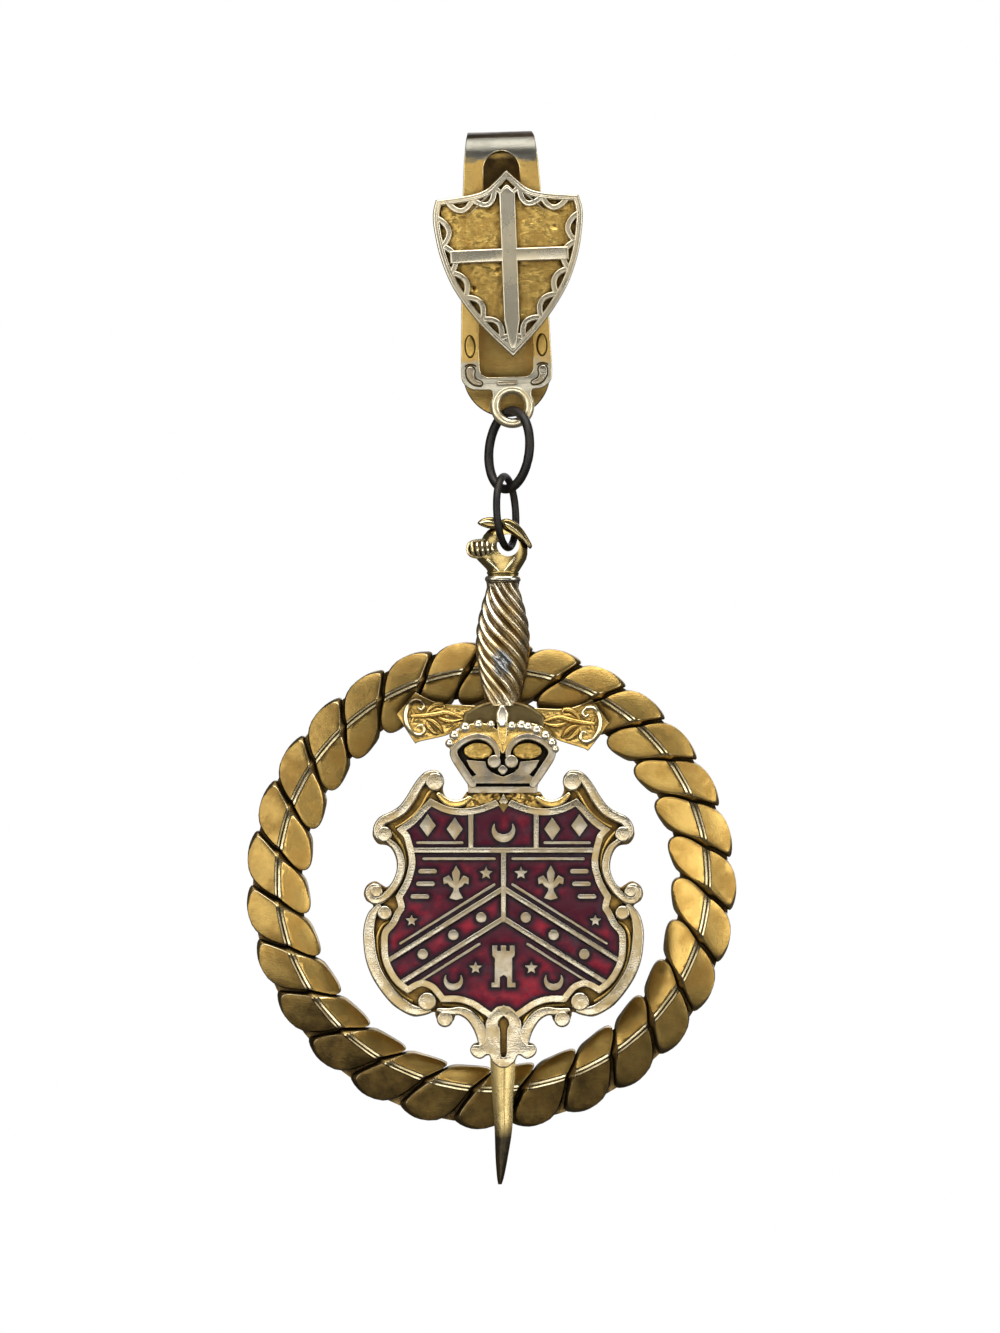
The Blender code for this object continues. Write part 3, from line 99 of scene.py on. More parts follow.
class NodeBench:
    """Builds the node tree of one material."""

    def __init__(self, name: str) -> None:
        """Start a material with its shader and its object coordinates."""
        self.material = bpy.data.materials.new(name)
        self.material.use_nodes = True
        self.tree = self.material.node_tree
        self.shader = self.tree.nodes["Principled BSDF"]
        self.place = self.tree.nodes.new("ShaderNodeTexCoord").outputs["Object"]

    def link(self, output: Socket, socket: Socket) -> None:
        """Join two sockets."""
        self.tree.links.new(output, socket)

    def noise(self, scale: float, detail: float = 3.0, rough: float = 0.55,
              place: Socket | None = None) -> Socket:
        """Add a noise texture.

        Args:
            scale: waves per metre.
            detail: number of octaves.
            rough: strength of the finer octaves.
            place: coordinates to read instead of the object's.

        Returns:
            The socket with its value.
        """
        node = self.tree.nodes.new("ShaderNodeTexNoise")
        node.inputs["Scale"].default_value = scale
        node.inputs["Detail"].default_value = detail
        node.inputs["Roughness"].default_value = rough
        self.link(place or self.place, node.inputs["Vector"])
        return node.outputs["Fac"]

    def stretched(self, factors: Triple) -> Socket:
        """Coordinates stretched by three factors, for brushed or scratched noise."""
        node = self.tree.nodes.new("ShaderNodeMapping")
        node.inputs["Scale"].default_value = factors
        self.link(self.place, node.inputs["Vector"])
        return node.outputs["Vector"]

    def span(self, value: Socket, low: float, high: float, start: float = 0.0, end: float = 1.0) -> Socket:
        """Map a value from low..high to start..end, held at both ends."""
        node = self.tree.nodes.new("ShaderNodeMapRange")
        node.interpolation_type = "SMOOTHSTEP"
        for name, number in zip(("From Min", "From Max", "To Min", "To Max"), (low, high, start, end)):
            node.inputs[name].default_value = number
        self.link(value, node.inputs["Value"])
        return node.outputs["Result"]

    def math(self, operation: str, first: Socket | float, second: Socket | float) -> Socket:
        """Work out one value from two sockets or numbers."""
        node = self.tree.nodes.new("ShaderNodeMath")
        node.operation = operation
        node.use_clamp = True
        for socket, value in zip(node.inputs, (first, second)):
            if isinstance(value, float):
                socket.default_value = value
            else:
                self.link(value, socket)
        return node.outputs["Value"]

    def mix(self, share: Socket, first: Socket | Triple, second: Socket | Triple) -> Socket:
        """Mix two colours, each a socket or three numbers, by a share."""
        node = self.tree.nodes.new("ShaderNodeMix")
        node.data_type = "RGBA"
        self.link(share, node.inputs["Factor"])
        for name, value in (("A", first), ("B", second)):
            socket = next(s for s in node.inputs if s.name == name and s.type == "RGBA")
            if isinstance(value, tuple):
                socket.default_value = (*value, 1.0)
            else:
                self.link(value, socket)
        return next(s for s in node.outputs if s.type == "RGBA")

    def attribute(self, name: str) -> Socket:
        """Read a value that the mesh holds for each corner."""
        node = self.tree.nodes.new("ShaderNodeAttribute")
        node.attribute_name = name
        return node.outputs["Fac"]

    def openness(self, reach: float) -> Socket:
        """How open the surface lies, from 0 in a deep corner to 1 in the open, within a reach in metres."""
        node = self.tree.nodes.new("ShaderNodeAmbientOcclusion")
        node.samples = 6
        node.only_local = True
        node.inputs["Distance"].default_value = reach
        return node.outputs["AO"]

    def bump(self, height: Socket, strength: float, depth: float) -> None:
        """Give the shader a bump from a height between 0 and 1, of a depth in metres."""
        node = self.tree.nodes.new("ShaderNodeBump")
        node.inputs["Strength"].default_value = strength
        node.inputs["Distance"].default_value = depth
        self.link(height, node.inputs["Height"])
        self.link(node.outputs["Normal"], self.shader.inputs["Normal"])


@dataclass(frozen=True)
class MetalFinish:
    """A metal with mottled colour, specks of tarnish, and dirt and painted shade in its corners."""

    name: str
    colour: Triple
    second: Triple
    dirt_and_shade: Triple
    rough: tuple[float, float] = (0.28, 0.42)
    mottle: float = 420.0          # waves per metre
    specks: float = 0.35           # share of the dirt's colour that a speck takes
    corner: float = 0.0009         # reach of the dirt and painted shade out of a corner, metres
    grime_and_shade: float = 0.9             # share of the dirt's colour in a deep corner, partly painted shade
    bump: float = 0.25
    grain: float = 5200.0
    cast: Triple | None = None   # colour where the mesh's "cast" is one

    def build(self) -> Material:
        """Make the material."""
        bench = NodeBench(self.name)
        broad = bench.span(bench.noise(self.mottle, 4.0, 0.6), 0.35, 0.68)
        colour = bench.mix(broad, self.colour, self.second)
        if self.cast:
            ragged = bench.math("ADD", bench.attribute("cast"),
                                bench.span(bench.noise(self.mottle * 3.0, 5.0, 0.6), 0.3, 0.7, -0.2, 0.2))
            colour = bench.mix(bench.span(ragged, 0.25, 0.75), colour, self.cast)
        spots = bench.span(bench.noise(self.mottle * 5.5, 5.0, 0.7), 0.57, 0.74, 0.0, self.specks)
        colour = bench.mix(spots, colour, self.dirt_and_shade)
        # the per-vertex value read here holds real stains and painted shade alike, both mixed towards the
        # dirt colour
        stain_and_shade = bench.math("MULTIPLY", bench.attribute("stain_and_shade"),
                           bench.span(bench.noise(self.mottle * 1.7, 5.0, 0.65), 0.2, 0.75, 0.75, 1.0))
        colour = bench.mix(stain_and_shade, colour, self.dirt_and_shade)
        # darker in corners, creases and recesses: partly dirt, partly painted shade
        corner = bench.span(bench.openness(self.corner), 0.30, 0.93, self.grime_and_shade, 0.0)
        colour = bench.mix(corner, colour, self.dirt_and_shade)
        bench.link(colour, bench.shader.inputs["Base Color"])
        bench.shader.inputs["Metallic"].default_value = 1.0
        fine = bench.noise(self.grain, 3.0, 0.6)
        worn = bench.span(bench.math("MULTIPLY", fine, broad), 0.1, 0.45, *self.rough)
        bench.link(bench.math("ADD", worn, bench.math("MULTIPLY", corner, 0.25)),
                   bench.shader.inputs["Roughness"])
        scratch = bench.noise(900.0, 3.0, 0.6, bench.stretched((1.0, 1.0, 9.0)))
        bench.bump(bench.math("ADD", bench.math("MULTIPLY", fine, 0.6), bench.math("MULTIPLY", scratch, 0.4)),
                   self.bump, 0.00012)
        return bench.material


@dataclass(frozen=True)
class EnamelFinish:
    """Glossy translucent enamel, darker at the cell's edges, with lighter clouds."""

    name: str
    shore: Triple
    deep: Triple
    glow: Triple
    grey: Triple

    def build(self) -> Material:
        """Make the material."""
        bench = NodeBench(self.name)
        middle = bench.attribute("middle")
        clouds = bench.span(bench.noise(300.0, 4.0, 0.62), 0.40, 0.64)
        light = bench.math("MULTIPLY", clouds, bench.span(middle, 0.15, 0.95))
        colour = bench.mix(light, self.deep, self.glow)
        patches = bench.span(bench.noise(190.0, 3.0, 0.62), 0.50, 0.64, 0.0, 0.75)
        colour = bench.mix(patches, colour, self.deep)
        flecks = bench.span(bench.noise(1700.0, 4.0, 0.7), 0.45, 0.75, 0.0, 0.35)
        colour = bench.mix(flecks, colour, self.deep)
        colour = bench.mix(bench.span(middle, 0.10, 0.50), self.shore, colour)
        chips = bench.span(bench.noise(420.0, 5.0, 0.7), 0.50, 0.66, 0.0, 0.9)
        colour = bench.mix(bench.math("MULTIPLY", chips, bench.attribute("stain_and_shade")), colour, self.grey)
        bench.link(colour, bench.shader.inputs["Base Color"])
        bench.shader.inputs["Metallic"].default_value = 0.0
        bench.shader.inputs["Specular IOR Level"].default_value = 0.16
        uneven = bench.span(bench.noise(2400.0, 4.0), 0.3, 0.8, 0.28, 0.45)
        bench.link(uneven, bench.shader.inputs["Roughness"])
        bench.bump(bench.noise(1500.0, 4.0, 0.6), 0.2, 0.0001)
        return bench.material


class Finishes:
    """All materials of the badge, made once."""

    def __init__(self) -> None:
        """Build every finish."""
        brown = (0.055, 0.030, 0.010)
        olive = (0.105, 0.075, 0.030)
        black = (0.012, 0.010, 0.008)
        self.gold = MetalFinish("gold_leaf", (0.72, 0.47, 0.125), (0.52, 0.33, 0.085), brown).build()
        self.facet = MetalFinish("rope_gold", (0.90, 0.59, 0.165), (0.66, 0.385, 0.090),
                                 (0.070, 0.046, 0.018), specks=0.28, mottle=300.0, grime_and_shade=0.5, corner=0.0004,
                                 bump=0.20).build()
        spring = MetalFinish("brushed_gold", (0.82, 0.55, 0.165), (0.64, 0.40, 0.11), brown,
                             rough=(0.30, 0.44), specks=0.3, bump=0.3, cast=(0.20, 0.19, 0.155))
        self.spring = spring.build()
        self.leaf_foot = replace(spring, name="worn_leaf_foot", cast=(0.50, 0.46, 0.35)).build()
        self.pebbled = MetalFinish("pebbled_gold", (0.66, 0.44, 0.12), (0.46, 0.285, 0.07), brown,
                                   rough=(0.30, 0.48), mottle=700.0, specks=0.6, grime_and_shade=0.95, corner=0.0006,
                                   bump=0.5).build()
        self.grip = MetalFinish("grip_gilt", (0.97, 0.90, 0.72), (0.92, 0.70, 0.34), (0.20, 0.125, 0.040),
                                rough=(0.20, 0.30), mottle=240.0, specks=0.15, corner=0.0005,
                                cast=(0.34, 0.35, 0.34)).build()
        self.dull = MetalFinish("dull_gilt", (0.36, 0.25, 0.085), (0.24, 0.16, 0.055), brown,
                                rough=(0.34, 0.5), mottle=500.0, specks=0.6, bump=0.5).build()
        self.blade = MetalFinish("blade_gilt", (0.55, 0.42, 0.18), (0.46, 0.33, 0.12), (0.03, 0.025, 0.02),
                                 rough=(0.26, 0.40), mottle=200.0, specks=0.25).build()
        # pale gold of edges, ridges and raised wires: partly real wear, partly a painted highlight where they
        # catch the light
        self.ridge = MetalFinish("worn_gold_edge_and_highlight", (1.00, 0.88, 0.56), (0.92, 0.76, 0.40), brown,
                                 rough=(0.18, 0.28), specks=0.05, bump=0.05, grime_and_shade=0.35).build()
        # dark finish of side walls, recesses and drawn lines: partly patina, partly painted shade
        self.wall = MetalFinish("olive_patina_and_shade", olive, brown, black, rough=(0.38, 0.55), specks=0.5,
                                grime_and_shade=0.97).build()
        # dark finish of the rope's deep walls, creases and core: painted shade in the grooves between the
        # lobes
        self.gap = MetalFinish("rope_wall", (0.30, 0.20, 0.075), brown, (0.040, 0.026, 0.012),
                               rough=(0.38, 0.55), specks=0.4, grime_and_shade=0.80, corner=0.0006).build()
        self.silver = MetalFinish("silver_gilt", (0.46, 0.41, 0.31), (0.38, 0.30, 0.18), black,
                                  rough=(0.26, 0.42), specks=0.3, grime_and_shade=0.8, corner=0.0004).build()
        # lighter than the silver fronts: on rims and bevels it paints a highlight where the edges catch the
        # light
        self.silver_rim = MetalFinish("silver_edge", (0.62, 0.58, 0.47), (0.54, 0.46, 0.31), olive,
                                      rough=(0.18, 0.32), specks=0.25, grime_and_shade=0.5, corner=0.0004).build()
        self.warm_silver = MetalFinish("frame_silver", (0.57, 0.505, 0.37), (0.52, 0.385, 0.185), olive,
                                       rough=(0.24, 0.38), mottle=520.0, specks=0.3, grime_and_shade=0.85,
                                       corner=0.0004).build()
        self.figure = MetalFinish("figure_silver", (0.42, 0.37, 0.28), (0.40, 0.30, 0.16), black,
                                  rough=(0.30, 0.45), mottle=600.0, specks=0.25, grime_and_shade=0.8,
                                  corner=0.0003).build()
        self.rim_gold = MetalFinish("rim_gold", (0.74, 0.50, 0.15), (0.58, 0.36, 0.09), brown,
                                    rough=(0.24, 0.38), mottle=500.0, specks=0.35, corner=0.0005).build()
        # dark gold of the recessed channels round the enamel: partly patina, partly painted shade
        self.channel = MetalFinish("channel_gold", (0.30, 0.18, 0.045), (0.20, 0.11, 0.030),
                                   (0.02, 0.012, 0.006), rough=(0.34, 0.5), mottle=600.0, specks=0.6,
                                   corner=0.0006, grime_and_shade=0.97, bump=0.5).build()
        self.crest = MetalFinish("crest_silver", (0.93, 0.84, 0.64), (0.82, 0.70, 0.46),
                                 (0.10, 0.085, 0.05), rough=(0.26, 0.34), mottle=160.0, specks=0.05,
                                 grime_and_shade=0.55, corner=0.0004, bump=0.015).build()
        # mid olive gold of the rope's upper walls and of the crest pattern's walls: painted shade on those
        # walls
        self.band = MetalFinish("olive_wall_shade", (0.56, 0.40, 0.15), (0.42, 0.29, 0.10), brown,
                                rough=(0.30, 0.46), specks=0.3, mottle=500.0, grime_and_shade=0.6,
                                corner=0.0004).build()
        self.hump = MetalFinish("shaded_olive", (0.20, 0.150, 0.062), (0.145, 0.105, 0.042), brown,
                                rough=(0.30, 0.44), specks=0.3, mottle=400.0, bump=0.2).build()
        self.eye = MetalFinish("worn_eye", (0.90, 0.80, 0.56), (0.76, 0.62, 0.36), brown,
                               rough=(0.30, 0.42), specks=0.2, mottle=500.0, bump=0.1).build()
        self.helmet = MetalFinish("helmet_gilt", (0.35, 0.265, 0.105), (0.26, 0.185, 0.066), brown,
                                  rough=(0.14, 0.24), specks=0.25, mottle=360.0, bump=0.12).build()
        self.recess = MetalFinish("blackened_recess", (0.030, 0.024, 0.018), (0.05, 0.036, 0.02), black,
                                  rough=(0.5, 0.7), specks=0.5).build()
        self.steel = MetalFinish("blackened_wire", (0.040, 0.038, 0.036), (0.060, 0.052, 0.045),
                                 (0.03, 0.018, 0.01), rough=(0.42, 0.6), specks=0.6, bump=0.4,
                                 grime_and_shade=0.8).build()
        self.enamel = EnamelFinish("red_enamel", (0.010, 0.002, 0.005), (0.052, 0.003, 0.012),
                                   (0.25, 0.010, 0.022), (0.050, 0.046, 0.058)).build()
        # front, rim and wall of the pieces that are coated alike: the rim's lighter finish paints a highlight
        # on the edges, the wall's dark one paints shade on the sides
        self.frame_coat = (self.warm_silver, self.silver_rim, self.wall)
        self.figure_coat = (self.figure, self.silver_rim, self.wall)
        self.silver_coat = (self.silver, self.silver_rim, self.wall)
        self.gilt_coat = (self.rim_gold, self.ridge, self.wall)


# Flat geometry


def held(value: float, low: float = 0.0, high: float = 1.0) -> float:
    """A value held between two limits."""
    return max(low, min(high, value))


def eased(one: Value, two: Value, start: Value, end: Value, t: float) -> Value:
    """Numbers or points from one to two at a share t, smooth, with a given slope at both ends."""
    return (one * (2 * t ** 3 - 3 * t ** 2 + 1) + start * (t ** 3 - 2 * t ** 2 + t)
            + two * (3 * t ** 2 - 2 * t ** 3) + end * (t ** 3 - t ** 2))


def sides(loop: Sequence[Point]) -> Iterable[tuple[Point, Point]]:
    """The start and the end of each edge of a closed loop."""
    return zip(loop, list(loop[1:]) + [loop[0]])


def at(x: float, z: float) -> Point:
    """Turn a place in a table into millimetres."""
    return (x - GRID_X) * GRID, (GRID_Z - z) * GRID


def places(table: Iterable[Point]) -> Loop:
    """Turn a table of places into millimetres."""
    return [at(x, z) for x, z in table]


def mirrored(half: Sequence[Point], axis: float) -> Loop:
    """Add the mirrored half to an outline whose right half runs from the top down."""
    left = [(2 * axis - x, z) for x, z in reversed(half) if abs(x - axis) > 1e-6]
    return list(half) + left


def flipped(points: Iterable[Point], axis: float) -> Loop:
    """Mirror points about an upright line."""
    return [(2 * axis - x, z) for x, z in points]


def smooth(points: Sequence[Point], closed: bool = True, steps: int = 5, corners: Sequence[int] = ()) -> Loop:
    """Draw a smooth line through points.

    Args:
        points: the line's points.
        closed: whether the last point runs on to the first.
        steps: pieces between two points.
        corners: numbers of the points that stay sharp.

    Returns:
        The points of the smooth line.
    """
    count = len(points)
    result: Loop = []
    for index in range(count if closed else count - 1):
        one, two = Vector(points[index]), Vector(points[(index + 1) % count])
        before = Vector(points[index - 1]) if closed or index else one
        after = Vector(points[(index + 2) % count]) if closed or index + 2 < count else two
        if index in corners:
            before = one
        if (index + 1) % count in corners:
            after = two
        start, end = (two - before) / 2, (after - one) / 2
        for step in range(steps):
            place = eased(one, two, start, end, step / steps)
            result.append((place.x, place.y))
    if not closed:
        result.append(tuple(points[-1]))
    return result


def arc(centre: Point, radius: float, start: float, end: float, steps: int, squash: float = 1.0) -> Loop:
    """Points on an arc, angles in degrees."""
    angles = [math.radians(start + (end - start) * step / steps) for step in range(steps + 1)]
    return [(centre[0] + radius * math.cos(a), centre[1] + radius * squash * math.sin(a)) for a in angles]


def round_loop(centre: Point, radius: float, steps: int = 24, squash: float = 1.0) -> Loop:
    """A closed circle or oval."""
    return arc(centre, radius, 0.0, 360.0 * (steps - 1) / steps, steps - 1, squash)


def closest_on(place: Vector, start: Vector, end: Vector) -> Vector:
    """The point of an edge that lies nearest to a place."""
    along = end - start
    share = (place - start).dot(along) / max(along.length_squared, 1e-12)
    return start + along * held(share)


def offset(loop: Sequence[Point], distance: float) -> Loop:
    """Move a closed loop's edges outwards, or inwards for a negative distance, and drop what crosses.

    Args:
        loop: the closed outline.
        distance: how far its edges move.

    Returns:
        The moved outline. A point that comes too near to another edge is left out.
    """
    reach = 40                     # edges on either side that a point of a long loop is compared with
    sharpest = 0.12                # limit of the shift of a sharp corner
    slight = 0.06                  # a shift that can't cross anything
    near_enough = 0.93             # share of the distance that a point keeps from every edge
    edges = [(Vector(a), Vector(b)) for a, b in sides(loop)]
    side = 1.0 if sum(a.x * b.y - b.x * a.y for a, b in edges) > 0 else -1.0
    moved = []
    for index, (here, after) in enumerate(edges):
        into = (here - edges[index - 1][0]).normalized()
        out = (after - here).normalized()
        normal = Vector((into.y + out.y, -into.x - out.x)) * side
        place = here + normal / 2 * (distance / max(sharpest, normal.length_squared / 4))
        near = edges[index - reach:index + reach] if reach <= index < len(edges) - reach else edges
        clear = abs(distance) * near_enough
        if abs(distance) < slight or all((place - closest_on(place, *edge)).length > clear for edge in near):
            moved.append((place.x, place.y))
    return moved


def clipped(loop: Sequence[Point], point: Point, normal: Point) -> Loop:
    """Keep the side of a loop that the normal points away from."""
    kept: Loop = []
    for here, after in sides(loop):
        depth = (Vector(here) - Vector(point)).dot(Vector(normal))
        next_depth = (Vector(after) - Vector(point)).dot(Vector(normal))
        if depth <= 0:
            kept.append(tuple(here))
        if depth * next_depth < 0:
            kept.append(tuple(Vector(here).lerp(Vector(after), depth / (depth - next_depth))))
    return kept


def ribbon(path: Sequence[Point], width: Callable[[float], float] | float, cap: int = 5) -> Loop:
    """The outline of a stroke with round ends.

    Args:
        path: the stroke's middle line.
        width: its width, or its width at a share of the line.
        cap: pieces in each round end.

    Returns:
        A closed loop.
    """
    last = len(path) - 1
    left: Loop = []
    right: Loop = []
    for index, here in enumerate(path):
        before, after = path[max(0, index - 1)], path[min(last, index + 1)]
        along = (Vector(after) - Vector(before)).normalized()
        half = (width(index / last) if callable(width) else width) / 2
        left.append((here[0] - along.y * half, here[1] + along.x * half))
        right.append((here[0] + along.y * half, here[1] - along.x * half))
    loop = list(left)
    for side, start in ((path[-1], left[-1]), (path[0], right[0])):
        if side == path[0]:
            loop += reversed(right)
        first = math.atan2(start[1] - side[1], start[0] - side[0])
        radius = math.dist(start, side)
        loop += [(side[0] + radius * math.cos(first - math.pi * step / cap),
                  side[1] + radius * math.sin(first - math.pi * step / cap)) for step in range(1, cap)]
    return loop


# Modelling


def solo(*things: Thing) -> None:
    """Select only these objects and make the first one active."""
    bpy.ops.object.select_all(action="DESELECT")
    for thing in things:
        thing.select_set(True)
    bpy.context.view_layer.objects.active = things[0]


def link(thing: Thing) -> Thing:
    """Put a new object in the scene."""
    bpy.context.scene.collection.objects.link(thing)
    return thing


def cleaned(thing: Thing, distance: float = 0.0005) -> Thing:
    """Weld a mesh and point its faces outwards."""
    solo(thing)
    bpy.ops.object.mode_set(mode="EDIT")
    bpy.ops.mesh.select_all(action="SELECT")
    bpy.ops.mesh.remove_doubles(threshold=distance)
    bpy.ops.mesh.normals_make_consistent(inside=False)
    bpy.ops.object.mode_set(mode="OBJECT")
    return thing


def converted(curve: bpy.types.Curve, matrix: Matrix | None = None) -> Thing:
    """Turn a curve into a welded mesh object, moved by the matrix."""
    thing = link(bpy.data.objects.new(curve.name, curve))
    solo(thing)
    bpy.ops.object.convert(target="MESH")
    thing = bpy.context.view_layer.objects.active
    if matrix:
        thing.data.transform(matrix)
    return cleaned(thing)


def plate(name: str, loops: Iterable[Sequence[Point]], front: float, back: float,
          bevel: float = 0.08, rounds: int = 2) -> Thing:
    """A flat plate between two Y planes, with rounded edges.

    Args:
        name: the object's name.
        loops: closed outlines in (x, z); one inside another is a hole.
        front: Y of the front plane.
        back: Y of the back plane.
        bevel: radius of its edges.
        rounds: pieces in each rounded edge.

    Returns:
        The mesh object.
    """
    curve = bpy.data.curves.new(name, "CURVE")
    curve.dimensions = "2D"
    curve.fill_mode = "BOTH"
    curve.extrude = (back - front) / 2 - bevel
    curve.bevel_depth = bevel
    curve.bevel_resolution = rounds
    curve.offset = -bevel
    for loop in loops:
        spline = curve.splines.new("POLY")
        spline.points.add(len(loop) - 1)
        for point, (x, z) in zip(spline.points, loop):
            point.co = (x, z, 0.0, 1.0)
        spline.use_cyclic_u = True
    upright = Matrix.Translation((0.0, (front + back) / 2, 0.0)) @ Matrix.Rotation(math.pi / 2, 4, "X")
    return converted(curve, upright)


def wire(name: str, path: Sequence[Sequence[float]], radius: float | Sequence[float], closed: bool = False,
         sides: int = 12, flat: float = 1.0) -> Thing:
    """A wire along 3-D points, with one radius or one for each point, flattened along Y if wanted."""
    radii = [radius] * len(path) if isinstance(radius, (int, float)) else list(radius)
    curve = bpy.data.curves.new(name, "CURVE")
    curve.dimensions = "3D"
    curve.bevel_depth = 1.0
    curve.bevel_resolution = (sides - 4) // 2
    curve.use_fill_caps = not closed
    spline = curve.splines.new("POLY")
    spline.points.add(len(path) - 1)
    for point, place, size in zip(spline.points, path, radii):
        point.co = (*place, 1.0)
        point.radius = size
    spline.use_cyclic_u = closed
    thing = converted(curve)
    if flat != 1.0:
        middle = sum(place[1] for place in path) / len(path)
        for vertex in thing.data.vertices:
            vertex.co.y = middle + (vertex.co.y - middle) * flat
    return thing


def line(path: Sequence[Point], y: float) -> list[Triple]:
    """Lift flat points to a Y plane."""
    return [(x, y, z) for x, z in path]


def ball(name: str, centre: Sequence[float], radii: Triple, segments: int = 20, rings: int = 12) -> Thing:
    """A ball stretched to three radii, with its poles to the front and the back."""
    bpy.ops.object.select_all(action="DESELECT")
    bpy.ops.mesh.primitive_uv_sphere_add(segments=segments, ring_count=rings, radius=1.0)
    thing = bpy.context.view_layer.objects.active
    thing.name = name
    thing.data.transform(Matrix.Translation(centre) @ Matrix.Diagonal((*radii, 1.0))
                         @ Matrix.Rotation(math.pi / 2, 4, "X"))
    return thing


def lofted(name: str, sections: Sequence[Sequence[Sequence[float]]], closed: bool = True) -> Thing:
    """A closed body through sections that hold as many points each."""
    mesh = bpy.data.meshes.new(name)
    count = len(sections[0])
    points = [point for section in sections for point in section]
    faces: list[tuple[int, ...]] = []
    for ring in range(len(sections) - 1):
        low, high = ring * count, (ring + 1) * count
        for index in range(count):
            after = (index + 1) % count
            faces.append((low + index, low + after, high + after, high + index))
    if closed:
        faces.append(tuple(range(count)))
        faces.append(tuple(reversed(range(len(points) - count, len(points)))))
    mesh.from_pydata(points, [], faces)
    thing = link(bpy.data.objects.new(name, mesh))
    return cleaned(thing)


def reshaped(thing: Thing, mapping: Callable[[Vector], Vector]) -> Thing:
    """Move each vertex by a function."""
    for vertex in thing.data.vertices:
        vertex.co = mapping(vertex.co)
    return thing


def sliced(thing: Thing, cuts: Iterable[float], axis: int) -> Thing:
    """Cut a mesh's faces at several places along an axis, so that it can bend there."""
    bm = bmesh.new()
    bm.from_mesh(thing.data)
    normal = Vector((0.0, 0.0, 0.0))
    normal[axis] = 1.0
    for place in cuts:
        bmesh.ops.bisect_plane(bm, geom=bm.verts[:] + bm.edges[:] + bm.faces[:], dist=1e-6,
                               plane_co=normal * place, plane_no=normal)
    bm.to_mesh(thing.data)
    bm.free()
    return thing


def gridded(thing: Thing, spacing: float, origin: Point, columns: range, rows: range) -> Thing:
    """Cut a mesh's faces along upright and level lines, so that its front can be roughened.

    Args:
        thing: the mesh object.
        spacing: distance between two lines.
        origin: x and z of the lines that are numbered 0.
        columns: numbers of the upright lines.
        rows: numbers of the level lines.

    Returns:
        The object.
    """
    upright = [origin[0] + spacing * step for step in columns]
    level = [origin[1] + spacing * step for step in rows]
    return sliced(sliced(thing, upright, 0), level, 2)


def roughened(thing: Thing, limit: float, fineness: float, lift: float) -> Thing:
    """Lift the front of a piece, up to a Y plane, by a rough noise."""

    def rough(place: Vector) -> Vector:
        """Lift a place of the front."""
        if place.y > limit:
            return place
        return place - Vector((0.0, noise.fractal(place * fineness, 0.8, 2.1, 3) * lift, 0.0))

    return reshaped(thing, rough)


def coat(thing: Thing, front: Material, rim: Material | None = None, wall: Material | None = None) -> Thing:
    """Give faces their materials by how far they turn to the front.

    Args:
        thing: the mesh object.
        front: the material of faces that look straight forward, and of all where no other is given.
        rim: that of the faces between; a lighter finish there paints a highlight on the edges.
        wall: that of faces that look sideways or back; a dark finish there paints shade on the walls.

    Returns:
        The object.
    """
    thing.data.materials.clear()
    for material in (front, rim or front, wall or rim or front):
        thing.data.materials.append(material)
    for polygon in thing.data.polygons:
        turn = -polygon.normal.y
        polygon.material_index = 0 if turn > FLAT_ON else 1 if turn > NOT_WALL else 2
    return thing


def joined(name: str, things: Sequence[Thing]) -> Thing:
    """Make several objects one."""
    solo(*things)
    if len(things) > 1:
        bpy.ops.object.join()
    thing = bpy.context.view_layer.objects.active
    thing.name = name
    return thing


def copied(thing: Thing, matrix: Matrix) -> Thing:
    """A moved copy with a mesh of its own."""
    copy = link(bpy.data.objects.new(thing.name, thing.data.copy()))
    copy.data.transform(matrix)
    if matrix.determinant() < 0:
        copy.data.flip_normals()
    return copy


def with_vertex_values(thing: Thing, amount: Callable[[Vector], float], name: str = "stain_and_shade") -> Thing:
    """Store a value for each vertex from its place."""
    attribute = thing.data.attributes.get(name) or thing.data.attributes.new(name, "FLOAT", "POINT")
    attribute.data.foreach_set("value", [amount(vertex.co) for vertex in thing.data.vertices])
    return thing


def turned(centre: Sequence[float], degrees: float, axis: str = "Y") -> Matrix:
    """A turn about a line through a point."""
    return (Matrix.Translation(centre) @ Matrix.Rotation(math.radians(degrees), 4, axis)
            @ Matrix.Translation(-Vector(centre)))


def backed(thing: Thing, wall: Material, back: Material) -> Thing:
    """Give the plain faces at a piece's back a finish of their own in place of the walls'."""
    materials = thing.data.materials
    materials.append(back)
    for polygon in thing.data.polygons:
        if polygon.normal.y > FLAT_ON and materials[polygon.material_index] == wall:
            polygon.material_index = len(materials) - 1
    return thing


def rivet(finishes: Finishes, place: Point, start: float, end: float, head: float,
          thick: float = 0.42) -> list[Thing]:
    """A rivet that is seen from behind.

    Args:
        finishes: the badge's finishes.
        place: its x and z.
        start: Y of the shank's front end.
        end: Y of the shank's back end.
        head: Y of the head's middle.
        thick: half thickness of the head.

    Returns:
        The head and the shank.
    """
    (x, z), round_half, shank_radius = place, 1.05, 0.48
    ends = [(x, start, z), (x, end, z)]
    return [coat(ball("rivet", (x, head, z), (round_half, thick, round_half), 20, 10), finishes.silver),
            coat(wire("shank", ends, shank_radius, sides=16), finishes.wall)]


def settle(thing: Thing, body: Body, node: str, angle: float = 32.0) -> None:
    """Scale a finished piece to metres, shade it and put it on its body in place of a CAD node."""
    thing.data.transform(Matrix.Scale(METRES, 4))
    solo(thing)
    bpy.ops.object.shade_smooth_by_angle(angle=math.radians(angle))
    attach(thing, body.value)
    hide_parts(node)
    triangles = sum(len(polygon.vertices) - 2 for polygon in thing.data.polygons)
    log.info("%s on %s, %d triangles", thing.name, body.value, triangles)


# The rope ring


